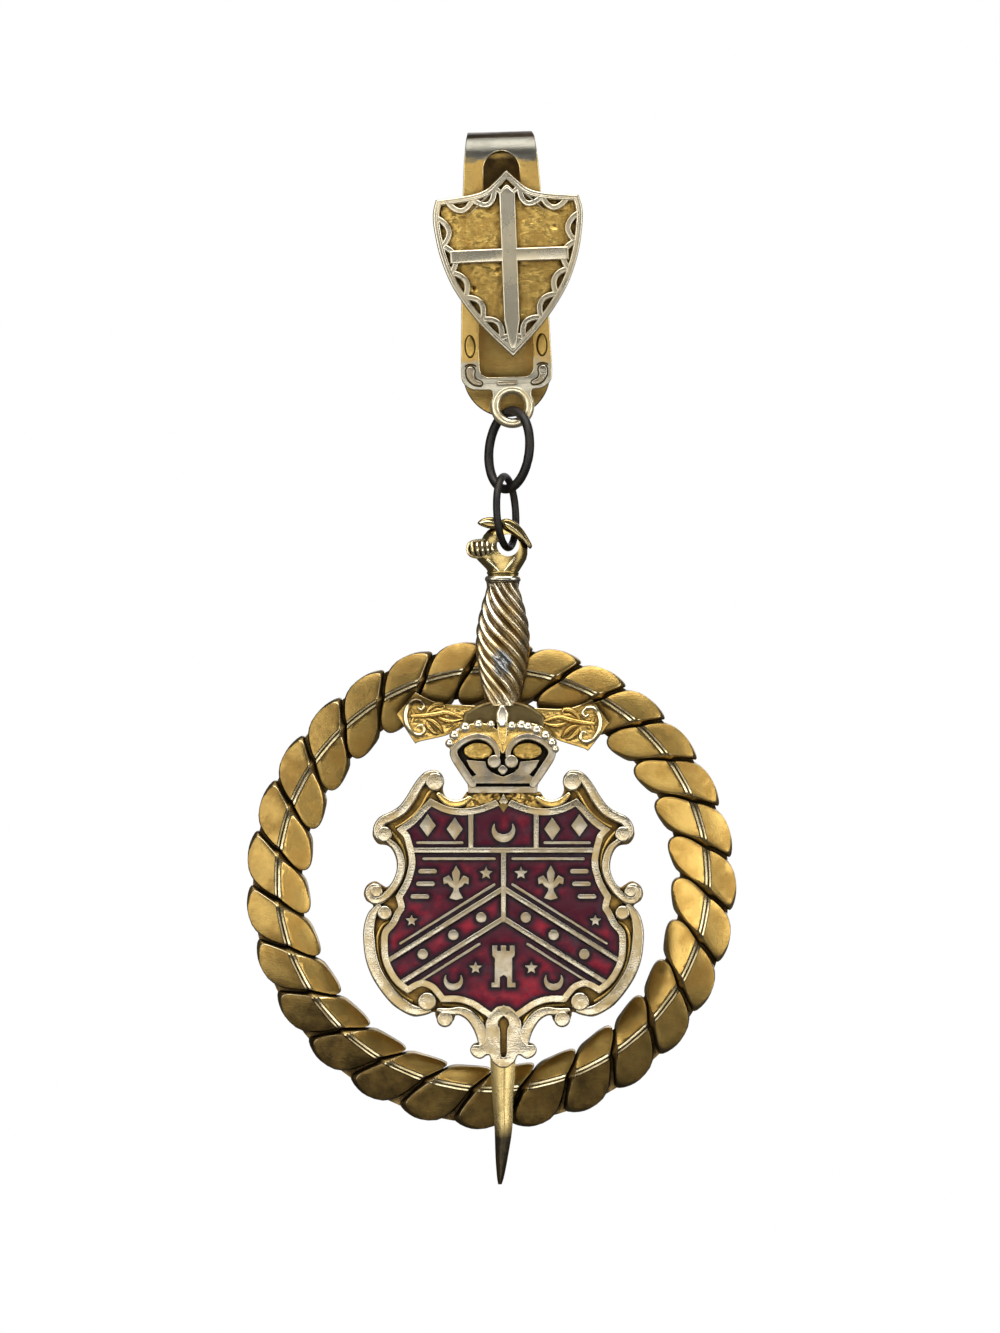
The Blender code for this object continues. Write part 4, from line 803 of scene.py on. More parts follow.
@dataclass(frozen=True)
class RopeSizes:
    """Sizes of the rope ring."""

    centre: Point = RING_CENTRE
    outer: float = 26.05
    inner: float = 19.1
    lobes: int = 28
    phase: float = 16.5            # degrees, clockwise from the top, of the first ridge's end
    edge: float = 1.05             # fall of a facet from the ridge to its end


class RopeRing:
    """The cast ring of slanted, ridged lobes."""

    # share of the band outwards, lift of the metal there: the ridge's two lines and the crease
    RIDGE = (
        (-0.125, 0.0), (-0.085, 0.115), (-0.03, 0.06), (-0.014, -0.07), (0.014, -0.07), (0.03, 0.06),
        (0.075, 0.105), (0.10, 0.0),
    )
    CREASE = 0.02
    # outline of the two facets and of the lobe's foot, in shares of the pitch (clockwise) and band (outwards)
    FACET = (
        (0.00, 0.00), (0.13, 0.20), (0.25, 0.42), (0.335, 0.62), (0.335, 0.76), (0.23, 0.865),
        (0.07, 0.915), (-0.10, 0.91), (-0.28, 0.83), (-0.45, 0.66), (-0.60, 0.40), (-0.71, 0.16),
        (-0.765, 0.00), (-0.85, -0.12), (-0.97, -0.30), (-1.10, -0.50), (-1.175, -0.70), (-1.15, -0.86),
        (-1.04, -0.945), (-0.88, -0.965), (-0.70, -0.915), (-0.48, -0.80), (-0.31, -0.64), (-0.17, -0.43),
        (-0.07, -0.18),
    )
    FOOT = (
        (0.175, 0.00), (0.225, 0.20), (0.325, 0.42), (0.40, 0.60), (0.460, 0.745), (0.41, 0.85),
        (0.24, 0.93), (0.04, 0.955), (-0.25, 0.89), (-0.48, 0.69), (-0.63, 0.41), (-0.735, 0.16),
        (-0.79, 0.00), (-0.875, -0.13), (-1.00, -0.32), (-1.125, -0.52), (-1.20, -0.72), (-1.175, -0.885),
        (-1.05, -0.98), (-0.86, -1.00), (-0.64, -0.965), (-0.41, -0.885), (-0.25, -0.70), (-0.11, -0.44),
        (0.065, -0.18),
    )
    # way from the facet's outline to the lobe's foot, fall below the facet there
    WALL = ((0.0, 0.05), (0.18, 0.09), (0.50, 0.24), (0.88, 0.52), (1.0, 1.30))
    # way from the facet's outline to its spine, fall of the metal there
    PILLOW = ((0.55, 0.0), (0.26, 0.005), (0.05, 0.03))
    # the ring leans a little away from the eye: shift of the ridge in shares of the band, by the angle
    LEAN = (-0.04, 0.21, 0.055, -0.08)
    # material of the faces between two rings of points, from the spine to the back: the facet's edge ring
    # takes the pale finish as a painted highlight, the walls the olive and dark finishes as painted shade
    LAYERS = (0, 0, 0, 1, 3, 3, 2, 2)
    DEEP = 10.0          # mark of the points at the lobe's back
    CROWD = 3.7          # degrees that the lobes crowd together towards the top
    CROWD_FROM = 16.0    # degrees

    def __init__(self, finishes: Finishes, sizes: RopeSizes = RopeSizes()) -> None:
        """Keep the finishes and the sizes."""
        self.finishes = finishes
        self.sizes = sizes
        self.middle = (sizes.outer + sizes.inner) / 2
        self.band = (sizes.outer - sizes.inner) / 2
        self.pitch = 360.0 / sizes.lobes

    def polar(self, across: float, along: float, y: float) -> Vector:
        """A place on the first lobe, from shares of the pitch and of half the band."""
        radius = self.middle + self.band * along
        turn = math.radians(self.sizes.phase + self.pitch * across)
        return self.round_ring(radius, turn, y)

    def round_ring(self, radius: float, turn: float, y: float) -> Vector:
        """A place at a radius and an angle, clockwise from the top, round the ring's centre."""
        return Vector((self.sizes.centre[0] + radius * math.sin(turn), y,
                       self.sizes.centre[1] + radius * math.cos(turn)))

    @staticmethod
    def spine(along: float) -> float:
        """Where the lobe's middle line lies at a share of the band."""
        return -0.39 + (0.50 if along > 0 else 0.53) * along

    def lobe(self) -> Thing:
        """The lobe that all others copy."""
        sizes = self.sizes
        bm = bmesh.new()
        depth = bm.verts.layers.float.new("fall")
        top = bm.verts.layers.float.new("top")
        facet, foot = smooth(self.FACET, steps=2), smooth(self.FOOT, steps=2)
        rings = []
        for way, fall in self.PILLOW:
            rings.append([(u + (self.spine(v) - u) * way, v * (1.0 - 0.8 * way), fall, 1.0)
                          for u, v in facet])
        for way, fall in self.WALL:
            rings.append([(u + (wide_u - u) * way, v + (wide_v - v) * way, fall, 1.0 if way == 0 else 0.0)
                          for (u, v), (wide_u, wide_v) in zip(facet, foot)])
        points = len(facet)
        made = []
        for ring in rings:
            loop = []
            for u, v, fall, flat in ring:
                vertex = bm.verts.new((u, v, 0.0))
                vertex[depth], vertex[top] = fall, flat
                loop.append(vertex)
            made.append(loop)
        back = [bm.verts.new(vertex.co) for vertex in made[-1]]
        for vertex in back:
            vertex[depth] = self.DEEP
        for ring, following, layer in zip(made, made[1:] + [back], self.LAYERS):
            for index in range(points):
                after = (index + 1) % points
                face = bm.faces.new((ring[index], ring[after], following[after], following[index]))
                face.material_index = layer
        bm.faces.new(made[0])
        bm.faces.new(reversed(back)).material_index = 2
        for share, _ in self.RIDGE:
            bmesh.ops.bisect_plane(bm, geom=bm.verts[:] + bm.edges[:] + bm.faces[:], dist=1e-7,
                                   plane_co=(0, share, 0), plane_no=(0, 1, 0))
        # the ridge's lines take the pale finish, partly a painted highlight, and its crease the dark one,
        # painted shade
        for face in bm.faces:
            share = face.calc_center_median().y
            if face.material_index < 2 and self.RIDGE[0][0] < share < self.RIDGE[-1][0]:
                face.material_index = 2 if abs(share) < self.CREASE else 1
        for vertex in bm.verts:
            across, along = vertex.co.x, vertex.co.y
            if vertex[depth] == self.DEEP:
                y = RING_BACK - 0.1
            else:
                y = RING_FRONT + 0.1 + sizes.edge * abs(along) + vertex[depth]
                if vertex[top] > 0.5:
                    y -= self.ridge_lift(along)
            vertex.co = self.polar(across, along, y)
        mesh = bpy.data.meshes.new("lobe")
        bm.to_mesh(mesh)
        bm.free()
        lobe = cleaned(link(bpy.data.objects.new("lobe", mesh)), 0.0001)
        for material in (self.finishes.facet, self.finishes.ridge, self.finishes.gap, self.finishes.band):
            lobe.data.materials.append(material)
        return lobe

    def ridge_lift(self, share: float) -> float:
        """Lift of the ridge's lines at a share of the band."""
        for (low, below), (high, above) in zip(self.RIDGE, self.RIDGE[1:]):
            if low <= share <= high:
                return below + (above - below) * (share - low) / (high - low)
        return 0.0

    def seen(self, place: Vector) -> Vector:
        """Crowd the lobes towards the top and shift the ridge inwards at the foot of the ring."""
        x, z = place.x - self.sizes.centre[0], place.z - self.sizes.centre[1]
        radius = math.hypot(x, z)
        turn = math.atan2(x, z)
        turn -= math.radians(self.CROWD) * math.sin(turn - math.radians(self.CROWD_FROM))
        across, up = math.sin(turn), math.cos(turn)
        along = (radius - self.middle) / self.band
        plain, upright, level, double = self.LEAN
        shift = plain + upright * up + level * across + double * (up * up - across * across)
        radius += self.band * shift * max(0.0, 1.0 - along * along)
        return self.round_ring(radius, turn, place.y)

    def tarnish_and_shade(self, place: Vector) -> float:
        """Darkening of the outer facets, most at the foot of the ring, and of the upper inner ones."""
        x, z = place.x - self.sizes.centre[0], place.z - self.sizes.centre[1]
        radius = math.hypot(x, z)
        up, across = z / radius, x / radius
        if radius > self.middle + self.band * (self.LEAN[0] + self.LEAN[1] * up):
            return min(0.95, 0.52 + 0.18 * max(0.0, up) + 0.60 * max(0.0, -up - 0.08) - 0.14 * across)
        return 0.10 + 0.48 * max(0.0, up) ** 1.5 + 0.34 * max(0.0, -up) ** 1.5 - 0.10 * across

    def build(self) -> None:
        """Model one lobe, copy it round the ring and add the core."""
        sizes = self.sizes
        centre = (sizes.centre[0], 0.0, sizes.centre[1])
        first = self.lobe()
        chance = random.Random(7)
        lobes = []
        for number in range(sizes.lobes):
            middle = self.polar(-0.4, 0.0, RING_FRONT)
            wobble = (turned(middle, chance.uniform(-1.0, 1.0), "X")
                      @ turned(middle, chance.uniform(-1.0, 1.0), "Z"))
            copy = reshaped(copied(first, turned(centre, self.pitch * number) @ wobble), self.seen)
            shade = chance.uniform(-0.04, 0.08)

            def worn(place: Vector, shade: float = shade) -> float:
                """The ring's darkening with the lobe's own share."""
                return max(0.0, self.tarnish_and_shade(place) + shade)

            lobes.append(with_vertex_values(copy, worn))
        bpy.data.objects.remove(first)
        inner, outer = sizes.inner + 0.9, sizes.outer - 0.9
        steps = sizes.lobes * 4
        corners = ((inner, RING_BACK - 0.3), (inner, 1.2), (outer, 1.2), (outer, RING_BACK - 0.3),
                   (outer - 0.4, RING_BACK), (inner + 0.4, RING_BACK))
        sections = []
        for number in range(steps):
            turn = 2 * math.pi * number / steps
            sections.append([self.round_ring(radius, turn, y) for radius, y in corners])
        core = coat(lofted("core", sections + [sections[0]], closed=False), self.finishes.gap)
        rope = backed(joined("rope", lobes + [core]), self.finishes.gap, self.finishes.dull)
        settle(rope, Body.MEDAL, "rope_ring")


# The clip


@dataclass(frozen=True)
class SpringSizes:
    """Sizes of the clip's bent strip."""

    strip: float = 0.80
    fold_radius: float = 2.30      # middle of the strip
    fold_centre: float = -1.90
    lean: float = 1.5              # degrees that the clip leans on the cloth
    front: float = 24.6            # straight length of the front leaf
    back: float = 27.4
    slope: float = 3.0             # degrees that the back leaf runs towards the front one
    foot_bar: float = 1.35
    corner: float = 1.60
    window_corner: float = 0.95
    back_half: float = 4.60
    eye: Point = (0.50, 1.75)      # shift to the right, drop under the leaf's foot
    eye_radius: float = 2.30
    eye_hole: float = 1.30
    neck: float = 2.05
    relief: float = 0.20


def leaned(thing: Thing, degrees: float = SpringSizes.lean) -> Thing:
    """Turn a piece of the clip by its lean about the origin."""
    thing.data.transform(Matrix.Rotation(math.radians(-degrees), 4, "Y"))
    return thing


class ClipSpring:
    """The bent strip with its window, its raised border and its eye."""

    # run down the front from the top of the fold, half width
    WIDTHS = ((0.0, 3.30), (0.8, 3.42), (1.6, 3.60), (4.1, 3.90), (7.5, 4.12), (18.0, 4.55), (26.2, 4.80))
    FOOT_FROM = -22.0    # height on the flat blank below which the leaf is worn pale
    BEHIND = -1.9        # Y of the fold's middle: the front leaf lies in front of it
    # half width of the window at a run
    WINDOW = ((7.5, 1.95), (14.0, 2.30), (24.0, 2.80))

    def __init__(self, finishes: Finishes, sizes: SpringSizes = SpringSizes()) -> None:
        """Keep the finishes and the sizes."""
        self.finishes = finishes
        self.sizes = sizes
        self.quarter = sizes.fold_radius * math.pi / 2
        self.foot = self.quarter + sizes.front

    def bend(self, place: Vector) -> Vector:
        """Bend a point of the flat blank, whose run down the front is -z, round the fold."""
        sizes = self.sizes
        slope = math.radians(sizes.slope)
        run, radius = -place.z, sizes.fold_radius - place.y
        back_end = -(sizes.fold_radius * slope + self.quarter)
        angle = held(run, back_end, self.quarter) / sizes.fold_radius
        y, z = -radius * math.sin(angle), sizes.fold_centre + radius * math.cos(angle)
        if run > self.quarter:
            z -= run - self.quarter
        if run < back_end:
            y -= math.sin(slope) * (back_end - run)
            z -= math.cos(slope) * (back_end - run)
        return Vector((place.x, y, z))

    def blank(self) -> list[Loop]:
        """The flat strip's outline, its window and its eye."""
        sizes, foot = self.sizes, self.foot
        half = sizes.corner
        corner_x = self.WIDTHS[-1][1] - half
        eye = (sizes.eye[0], -foot - sizes.eye[1])
        right = [(width, -run) for run, width in self.WIDTHS]
        right += arc((corner_x, half - foot), half, 0, -90, 8)[1:]
        neck = smooth([(eye[0] + 2.35, -foot - 0.02), (eye[0] + sizes.neck + 0.04, -foot - 0.20),
                       (eye[0] + sizes.neck, -foot - 0.75), (eye[0] + 2.22, -foot - 1.30)],
                      closed=False, steps=4)
        ring = arc(eye, sizes.eye_radius - 0.16, 2, -182, 28)
        left = [(-width, -run) for run, width in reversed(self.WIDTHS)]
        low_left = arc((-corner_x, half - foot), half, 270, 180, 8)[:-1]
        back = self.quarter + sizes.back
        head = arc((0.0, back - sizes.back_half), sizes.back_half, 180, 0, 32)
        rear = [(-3.60, 1.6), (-4.1, 7.5)] + head + [(4.1, 7.5), (3.60, 1.6)]
        outline = right + neck + ring + flipped(reversed(neck), eye[0]) + low_left + left[:-1] + rear
        head_z, head_radius = -3.21, 1.87
        top = (0.0, head_z - head_radius)
        rim = sizes.window_corner
        low = sizes.foot_bar - foot + rim
        window_x = self.WINDOW[-1][1] - rim
        window = [(width, -run) for run, width in reversed(self.WINDOW)] + arc(top, head_radius, 0, 180, 20)
        window += [(-width, -run) for run, width in self.WINDOW]
        window += arc((-window_x, low), rim, 180, 270, 6) + arc((window_x, low), rim, 270, 360, 6)
        return [outline, window, round_loop(eye, sizes.eye_hole + 0.16, 32)]

    def raised(self, name: str, loop: Loop) -> Thing:
        """A rounded pad on the strip's front."""
        front = -self.sizes.strip / 2
        return plate(name, [loop], front - self.sizes.relief, front + 0.1, 0.14, 3)

    def drawn(self, name: str, loop: Loop, lift: float = 0.03) -> Thing:
        """A flat dark shape on the strip's front."""
        front = -self.sizes.strip / 2
        return coat(plate(name, [loop], front - lift, front + 0.1, 0.02), self.finishes.wall)

    def relief(self) -> list[Thing]:
        """The raised ovals, pads, dashes and bar round the window's foot."""
        sizes, foot = self.sizes, self.foot
        finishes = self.finishes
        things = []
        side_x = self.WIDTHS[-1][1] - 1.02
        for side in (-1, 1):
            centre = (side * side_x, 4.60 - foot)
            oval = self.raised("oval", round_loop(centre, 0.46, 24, 2.4))
            things.append(coat(oval, finishes.gold, finishes.gold, finishes.wall))
            things.append(self.drawn("oval_line", round_loop(centre, 0.60, 24, 2.05)))
            dash = arc((side * side_x, 2.35 - foot), 0.62, 30, 150, 8, 0.6)
            things.append(self.drawn("dash", ribbon(dash, 0.16), 0.05))
            pad_line = [(side * (side_x + 0.02), 2.05 - foot), (side * (side_x + 0.02), 1.45 - foot),
                        (side * (side_x - 0.35), 0.90 - foot), (side * (side_x - 0.95), 0.68 - foot)]
            path = smooth(pad_line, closed=False)
            pad = self.raised("pad", ribbon(path, lambda share: 0.95 - 0.45 * share))
            things.append(coat(pad, *finishes.silver_coat))
            things.append(self.drawn("pad_line", ribbon(path, lambda share: 1.18 - 0.45 * share)))
        centre = (sizes.eye[0], 0.0, -foot - sizes.eye[1])
        middle = (sizes.eye_radius + sizes.eye_hole) / 2
        ring = [(centre[0] + middle * math.sin(a), 0.0, centre[2] + middle * math.cos(a))
                for a in (2 * math.pi * step / 48 for step in range(48))]
        thick = (sizes.eye_radius - sizes.eye_hole) / 2 + 0.02
        things.append(coat(wire("eye_ring", ring, thick, closed=True, sides=16, flat=0.9), finishes.eye))
        bar = ribbon([(-0.85, sizes.foot_bar / 2 - foot), (0.85, sizes.foot_bar / 2 - foot)], 0.52)
        things.append(coat(self.raised("bar", bar), *finishes.silver_coat))
        return things

    def build(self) -> None:
        """Make the flat blank with its relief, bend it and hang it up."""
        sizes = self.sizes
        strip = plate("strip", self.blank(), -sizes.strip / 2, sizes.strip / 2, 0.13, 3)
        reach = self.quarter + 0.3
        strip = sliced(strip, [reach * step / 30 for step in range(-32, 31)], 2)
        strip = sliced(strip, [-self.quarter - step for step in range(1, 25, 2)], 2)
        strip = sliced(strip, [self.FOOT_FROM - 0.4 * step for step in range(18)], 2)
        coat(strip, self.finishes.spring, self.finishes.ridge, self.finishes.wall)
        strip.data.materials.append(self.finishes.leaf_foot)
        for polygon in strip.data.polygons:
            if polygon.normal.y > FLAT_ON:
                polygon.material_index = 0
            elif polygon.material_index == 0 and polygon.center.z < self.FOOT_FROM:
                polygon.material_index = 3
        spring = joined("clip_strip", [strip] + self.relief())
        spring = leaned(reshaped(spring, self.bend))

        def back_leaf_shade(place: Vector) -> float:
            """Painted shade: brown inside the fold and on the back leaf, also round the front leaf's foot,
            where its shadow falls.
            """
            if place.y < self.BEHIND:
                return 0.0
            upper = held((place.z + 23.8) / 5.0)
            foot = max(0.0, 1.0 - abs(place.z + 27.0) / 1.9)
            return min(0.95, 0.25 + 0.65 * upper + 0.65 * foot)

        def grey(place: Vector) -> float:
            """Grey where the fold looks up, and lighter at the front leaf's foot."""
            if place.y > 1.0:
                return 0.35
            foot = 0.0 if place.y > self.BEHIND else held((-22.2 - place.z) / 2.6, high=0.9)
            return max(held((place.z + 3.2) / 1.6), foot)

        with_vertex_values(spring, grey, "cast")
        settle(with_vertex_values(spring, back_leaf_shade), Body.CLIP, "clip_spring")


class ClipCrest:
    """The small domed shield with its cross, scalloped border and pebbled ground."""

    HALF_WIDTH = 7.85
    HEIGHT = 19.6
    TOP = 3.60
    LEAN = 2.2           # degrees, a little more than the leaf behind it
    SHIFT = 0.45
    THICK = 1.50
    DOME = 0.55
    SUNK = 0.60
    RIM = 0.50
    SWELL = 0.26                   # radius of the rounded swelling along the rim
    SWELL_TO = 0.72                # the swelling's inner edge, measured from the outline
    CROSS = 1.74
    CROSS_DROP = 0.455
    DEPTH = 1.00         # of a scallop's middle line from the rim
    STROKE = 0.64        # width of the scallops
    GROUND = 1.10        # from the rim to the cross's ends
    PEBBLE = 0.17        # spacing of the ground's grid
    RIVET_APART = 2.95   # from the shield's middle line
    RIVET_DROP = 0.40    # share of the height
    TOP_CUSPS = (0.24, 0.56, 0.88)
    SIDE_CUSPS = (0.075, 0.225, 0.375, 0.525, 0.675, 0.82, 0.945)
    EDGE = (
        (0.00, 0.000), (0.16, 0.062), (0.30, 0.105), (0.52, 0.128), (0.955, 0.145), (1.00, 0.22),
        (0.99, 0.31), (0.925, 0.45), (0.79, 0.60), (0.58, 0.74), (0.33, 0.865), (0.00, 1.00),
    )
    CORNER = 4           # row of the table with the shoulder's corner

    def __init__(self, finishes: Finishes) -> None:
        """Keep the finishes and draw the outline's right half."""
        self.finishes = finishes
        half = [(x * self.HALF_WIDTH, -z * self.HEIGHT) for x, z in self.EDGE]
        self.top = smooth(half[:self.CORNER + 1], closed=False, steps=6)
        self.side = smooth(half[self.CORNER:], closed=False, steps=6)

    def outline(self) -> Loop:
        """The whole outline, round the shield."""
        return mirrored(self.top + self.side[1:], 0.0)

    @staticmethod
    def along(path: Sequence[Point], share: float) -> Vector:
        """The point at a share of a path's length."""
        lengths = [math.dist(a, b) for a, b in zip(path, path[1:])]
        left = share * sum(lengths)
        for start, end, length in zip(path, path[1:], lengths):
            if left <= length:
                return Vector(start).lerp(Vector(end), left / length)
            left -= length
        return Vector(path[-1])

    def scallop(self, path: Sequence[Point], start: float, end: float) -> Loop:
        """Points of a half wave that bulges inwards between two shares of a path."""
        steps = 12
        first, last = self.along(path, start), self.along(path, end)
        along = (last - first).normalized()
        inwards = Vector((along.y, -along.x))
        points = []
        for step in range(steps + 1):
            share = step / steps
            chord = self.along(path, start + (end - start) * share)
            place = chord + inwards * self.DEPTH * math.sin(math.pi * share) ** 0.8
            points.append((place.x, place.y))
        return points

    def pattern(self) -> list[Thing]:
        """The silver pattern: rim, scallops, chevron and cross."""
        finishes = self.finishes
        loop = self.outline()
        count = len(self.top) + len(self.side) - 1
        rim = offset(loop, -self.RIM)[:count]
        corner = len(self.top) - 1
        front, back = -self.THICK, self.SUNK - self.THICK + 0.12
        strokes = []
        for path, shares in ((rim[:corner + 1], self.TOP_CUSPS), (rim[corner:], self.SIDE_CUSPS)):
            strokes += [self.scallop(path, start, stop) for start, stop in zip(shares, shares[1:])]
        tip = rim[0]
        shoulder = self.along(rim[:corner + 1], self.TOP_CUSPS[0] - 0.02)
        strokes.append([(0.0, tip[1] - 1.15), (shoulder.x * 0.5, shoulder.y - 0.50), tuple(shoulder)])
        both = [path for stroke in strokes for path in (stroke, flipped(stroke, 0.0))]
        things = []
        for number, path in enumerate(both):
            stroke = ribbon(path, self.STROKE, 4)
            things.append(plate("scallop", [stroke], front + 0.03 + 0.004 * (number % 5), back, 0.16, 3))
        bar = self.CROSS / 2
        bar_z = -self.HEIGHT * self.CROSS_DROP
        arm = self.HALF_WIDTH - self.RIM - self.GROUND
        low = -self.HEIGHT
        upright = [(-bar, tip[1] - 1.7), (0.0, tip[1] - 0.95), (bar, tip[1] - 1.7), (bar, low * 0.80),
                   (0.5, low + 1.7), (0.3, low + 0.8), (-0.3, low + 0.8), (-0.5, low + 1.7),
                   (-bar, low * 0.80)]
        thin = bar * 0.84
        level = [(-arm, bar_z + thin), (arm, bar_z + thin), (arm, bar_z - thin), (-arm, bar_z - thin)]
        things.append(plate("upright", [upright], front - 0.02, back, 0.20, 4))
        things.append(plate("level", [level], front - 0.01, back, 0.20, 4))
        things.append(plate("rim", [loop, offset(loop, -self.RIM)], front, back, 0.17, 4))
        swell = [(x, front + self.SWELL, z) for x, z in offset(loop, self.SWELL - self.SWELL_TO)]
        things.append(wire("rim_swell", swell, self.SWELL, closed=True, sides=16))
        return [coat(thing, finishes.crest, finishes.crest, finishes.band) for thing in things]

    def ground(self) -> Thing:
        """The pebbled, pitted ground: a fine sheet that lies under the pattern's openings."""
        loop = offset(self.outline(), -0.3)
        front = self.SUNK - self.THICK
        sheet = plate("ground", [loop], front, front + 0.4, 0.02, 1)
        steps = int(self.HALF_WIDTH / self.PEBBLE)
        gridded(sheet, self.PEBBLE, (0.0, 0.0), range(-steps, steps + 1),
                range(-1, -int(self.HEIGHT / self.PEBBLE), -1))

        def pebbled(place: Vector) -> Vector:
            """Lift the front by a rough noise with a few pits."""
            if place.y > front + 0.02:
                return place
            rough = noise.fractal(place * 1.6, 0.9, 2.1, 4)
            pit = max(0.0, noise.noise(place * 0.9 + Vector((7.0, 0.0, 3.0))) - 0.50)
            return place - Vector((0.0, rough * 0.10 - pit * 0.9, 0.0))

        return coat(reshaped(sheet, pebbled), self.finishes.pebbled)

    def domed(self, place: Vector) -> Vector:
        """Bend the flat shield back towards its sides."""
        return Vector((place.x, place.y + self.DOME * (place.x / self.HALF_WIDTH) ** 2, place.z))

    def build(self) -> None:
        """Make the pattern, the ground, the body behind them and the rivets."""
        finishes = self.finishes
        outline = self.outline()
        body = coat(plate("body", [offset(outline, -0.02)], self.SUNK - self.THICK + 0.2, 0.0, 0.03, 1),
                    finishes.wall)
        cuts = [self.HALF_WIDTH * step / 12 for step in range(-11, 12)]
        crest = joined("crest", [sliced(joined("pattern", self.pattern()), cuts, 0), sliced(body, cuts, 0),
                                 self.ground()])
        reshaped(crest, self.domed)
        crest.data.transform(Matrix.Translation((self.SHIFT, LEAF_FRONT - GAP - self.DOME, -self.TOP)))
        rivets = []
        for side in (-1, 1):
            place = (self.SHIFT + side * self.RIVET_APART, -self.TOP - self.HEIGHT * self.RIVET_DROP)
            rivets += rivet(finishes, place, LEAF_FRONT - GAP - 0.6, -1.6, -1.68)
        crest = backed(joined("crest", [crest] + rivets), finishes.wall, finishes.dull)
        crest = leaned(crest, self.LEAN)

        def tarnish_and_shade(place: Vector) -> float:
            """Painted shade: a grey cast towards the foot of the shield."""
            return 0.06 + 0.46 * held((-8.0 - place.z) / 13.0)

        settle(with_vertex_values(crest, tarnish_and_shade), Body.CLIP, "clip_shield")


@dataclass(frozen=True)
class LinkSizes:
    """Sizes of one oval link."""

    wire: float                    # radius of the wire
    half: Point                    # half width and half height of its middle line
    turn: float                    # degrees about the upright
    tilt: float                    # degrees in the plane that the medal swings in
    seam: float                    # angle of the wire's joint, radians from the top

    def upwards(self) -> Vector:
        """The way from the link's middle to the top of its middle line."""
        tilt = math.radians(self.tilt)
        return Vector((math.sin(tilt), 0.0, math.cos(tilt))) * self.half[1]


class Links:
    """The two blackened wire links."""

    POINTS = 72
    UPPER = LinkSizes(wire=0.50, half=(3.00, 4.12), turn=-45.0, tilt=4.5, seam=1.9)
    LOWER = LinkSizes(wire=0.40, half=(2.65, 3.75), turn=68.0, tilt=-3.0, seam=4.4)
    PLAY = 0.30          # between the clip's eye and the upper link
    SUNK = 0.26          # of the lower link's foot under the middle of the pommel's hole

    def __init__(self, finishes: Finishes) -> None:
        """Keep the finishes."""
        self.finishes = finishes

    def oval(self, centre: Vector, sizes: LinkSizes) -> tuple[list[Vector], list[float]]:
        """The middle line and the radii of a link, thinned a little at its seam."""
        turn = math.radians(sizes.turn)
        across = Vector((math.cos(turn), math.sin(turn), 0.0)) * sizes.half[0]
        path, radii = [], []
        for number in range(self.POINTS):
            angle = 2 * math.pi * number / self.POINTS
            path.append(centre + across * math.sin(angle) + sizes.upwards() * math.cos(angle))
            wear = 0.03 * noise.noise(path[-1] * 0.9)
            gap = 0.06 * math.exp(-((angle - sizes.seam) / 0.05) ** 2)
            radii.append(sizes.wire * (0.985 + wear - gap))
        return path, radii

    def build(self) -> None:
        """Hang both links between the clip's eye and the pommel's hole."""
        spring = SpringSizes()
        eye = Vector((spring.eye[0], HANG_Y, spring.fold_centre - spring.front - spring.eye[1]))
        eye.rotate(Matrix.Rotation(math.radians(-spring.lean), 3, "Y"))
        head = eye + Vector((0.0, 0.0, self.UPPER.wire + self.PLAY - spring.eye_hole))
        foot = Vector((PIERCE[0], HANG_Y, PIERCE[1] - self.SUNK))
        for name, centre, sizes in (("upper", head - self.UPPER.upwards(), self.UPPER),
                                    ("lower", foot + self.LOWER.upwards(), self.LOWER)):
            path, radii = self.oval(centre, sizes)
            thing = coat(wire("wire_link_" + name, path, radii, closed=True, sides=20), self.finishes.steel)
            settle(thing, Body.CLIP, "link_" + name, angle=60.0)


# The sword


@dataclass(frozen=True)
class SwordSizes:
    """Sizes of the sword."""

    x: float = 0.25
    pommel_half: float = 1.30
    hole: float = 1.18
    collar_z: float = -46.5
    collar_half: float = 1.90
    collar_wire: float = 0.36
    grip_length: float = 13.2
    grip_half: float = 2.75
    grip_depth: float = 2.75
    flutes: int = 12               # round a full turn
    flute: float = 0.60
    guard_z: float = -61.1
    guard_lean: float = 2.4
    guard_thick: float = 1.5
    blade_length: float = 49.0
    blade_half: float = 1.95
    blade_thick: float = 1.20


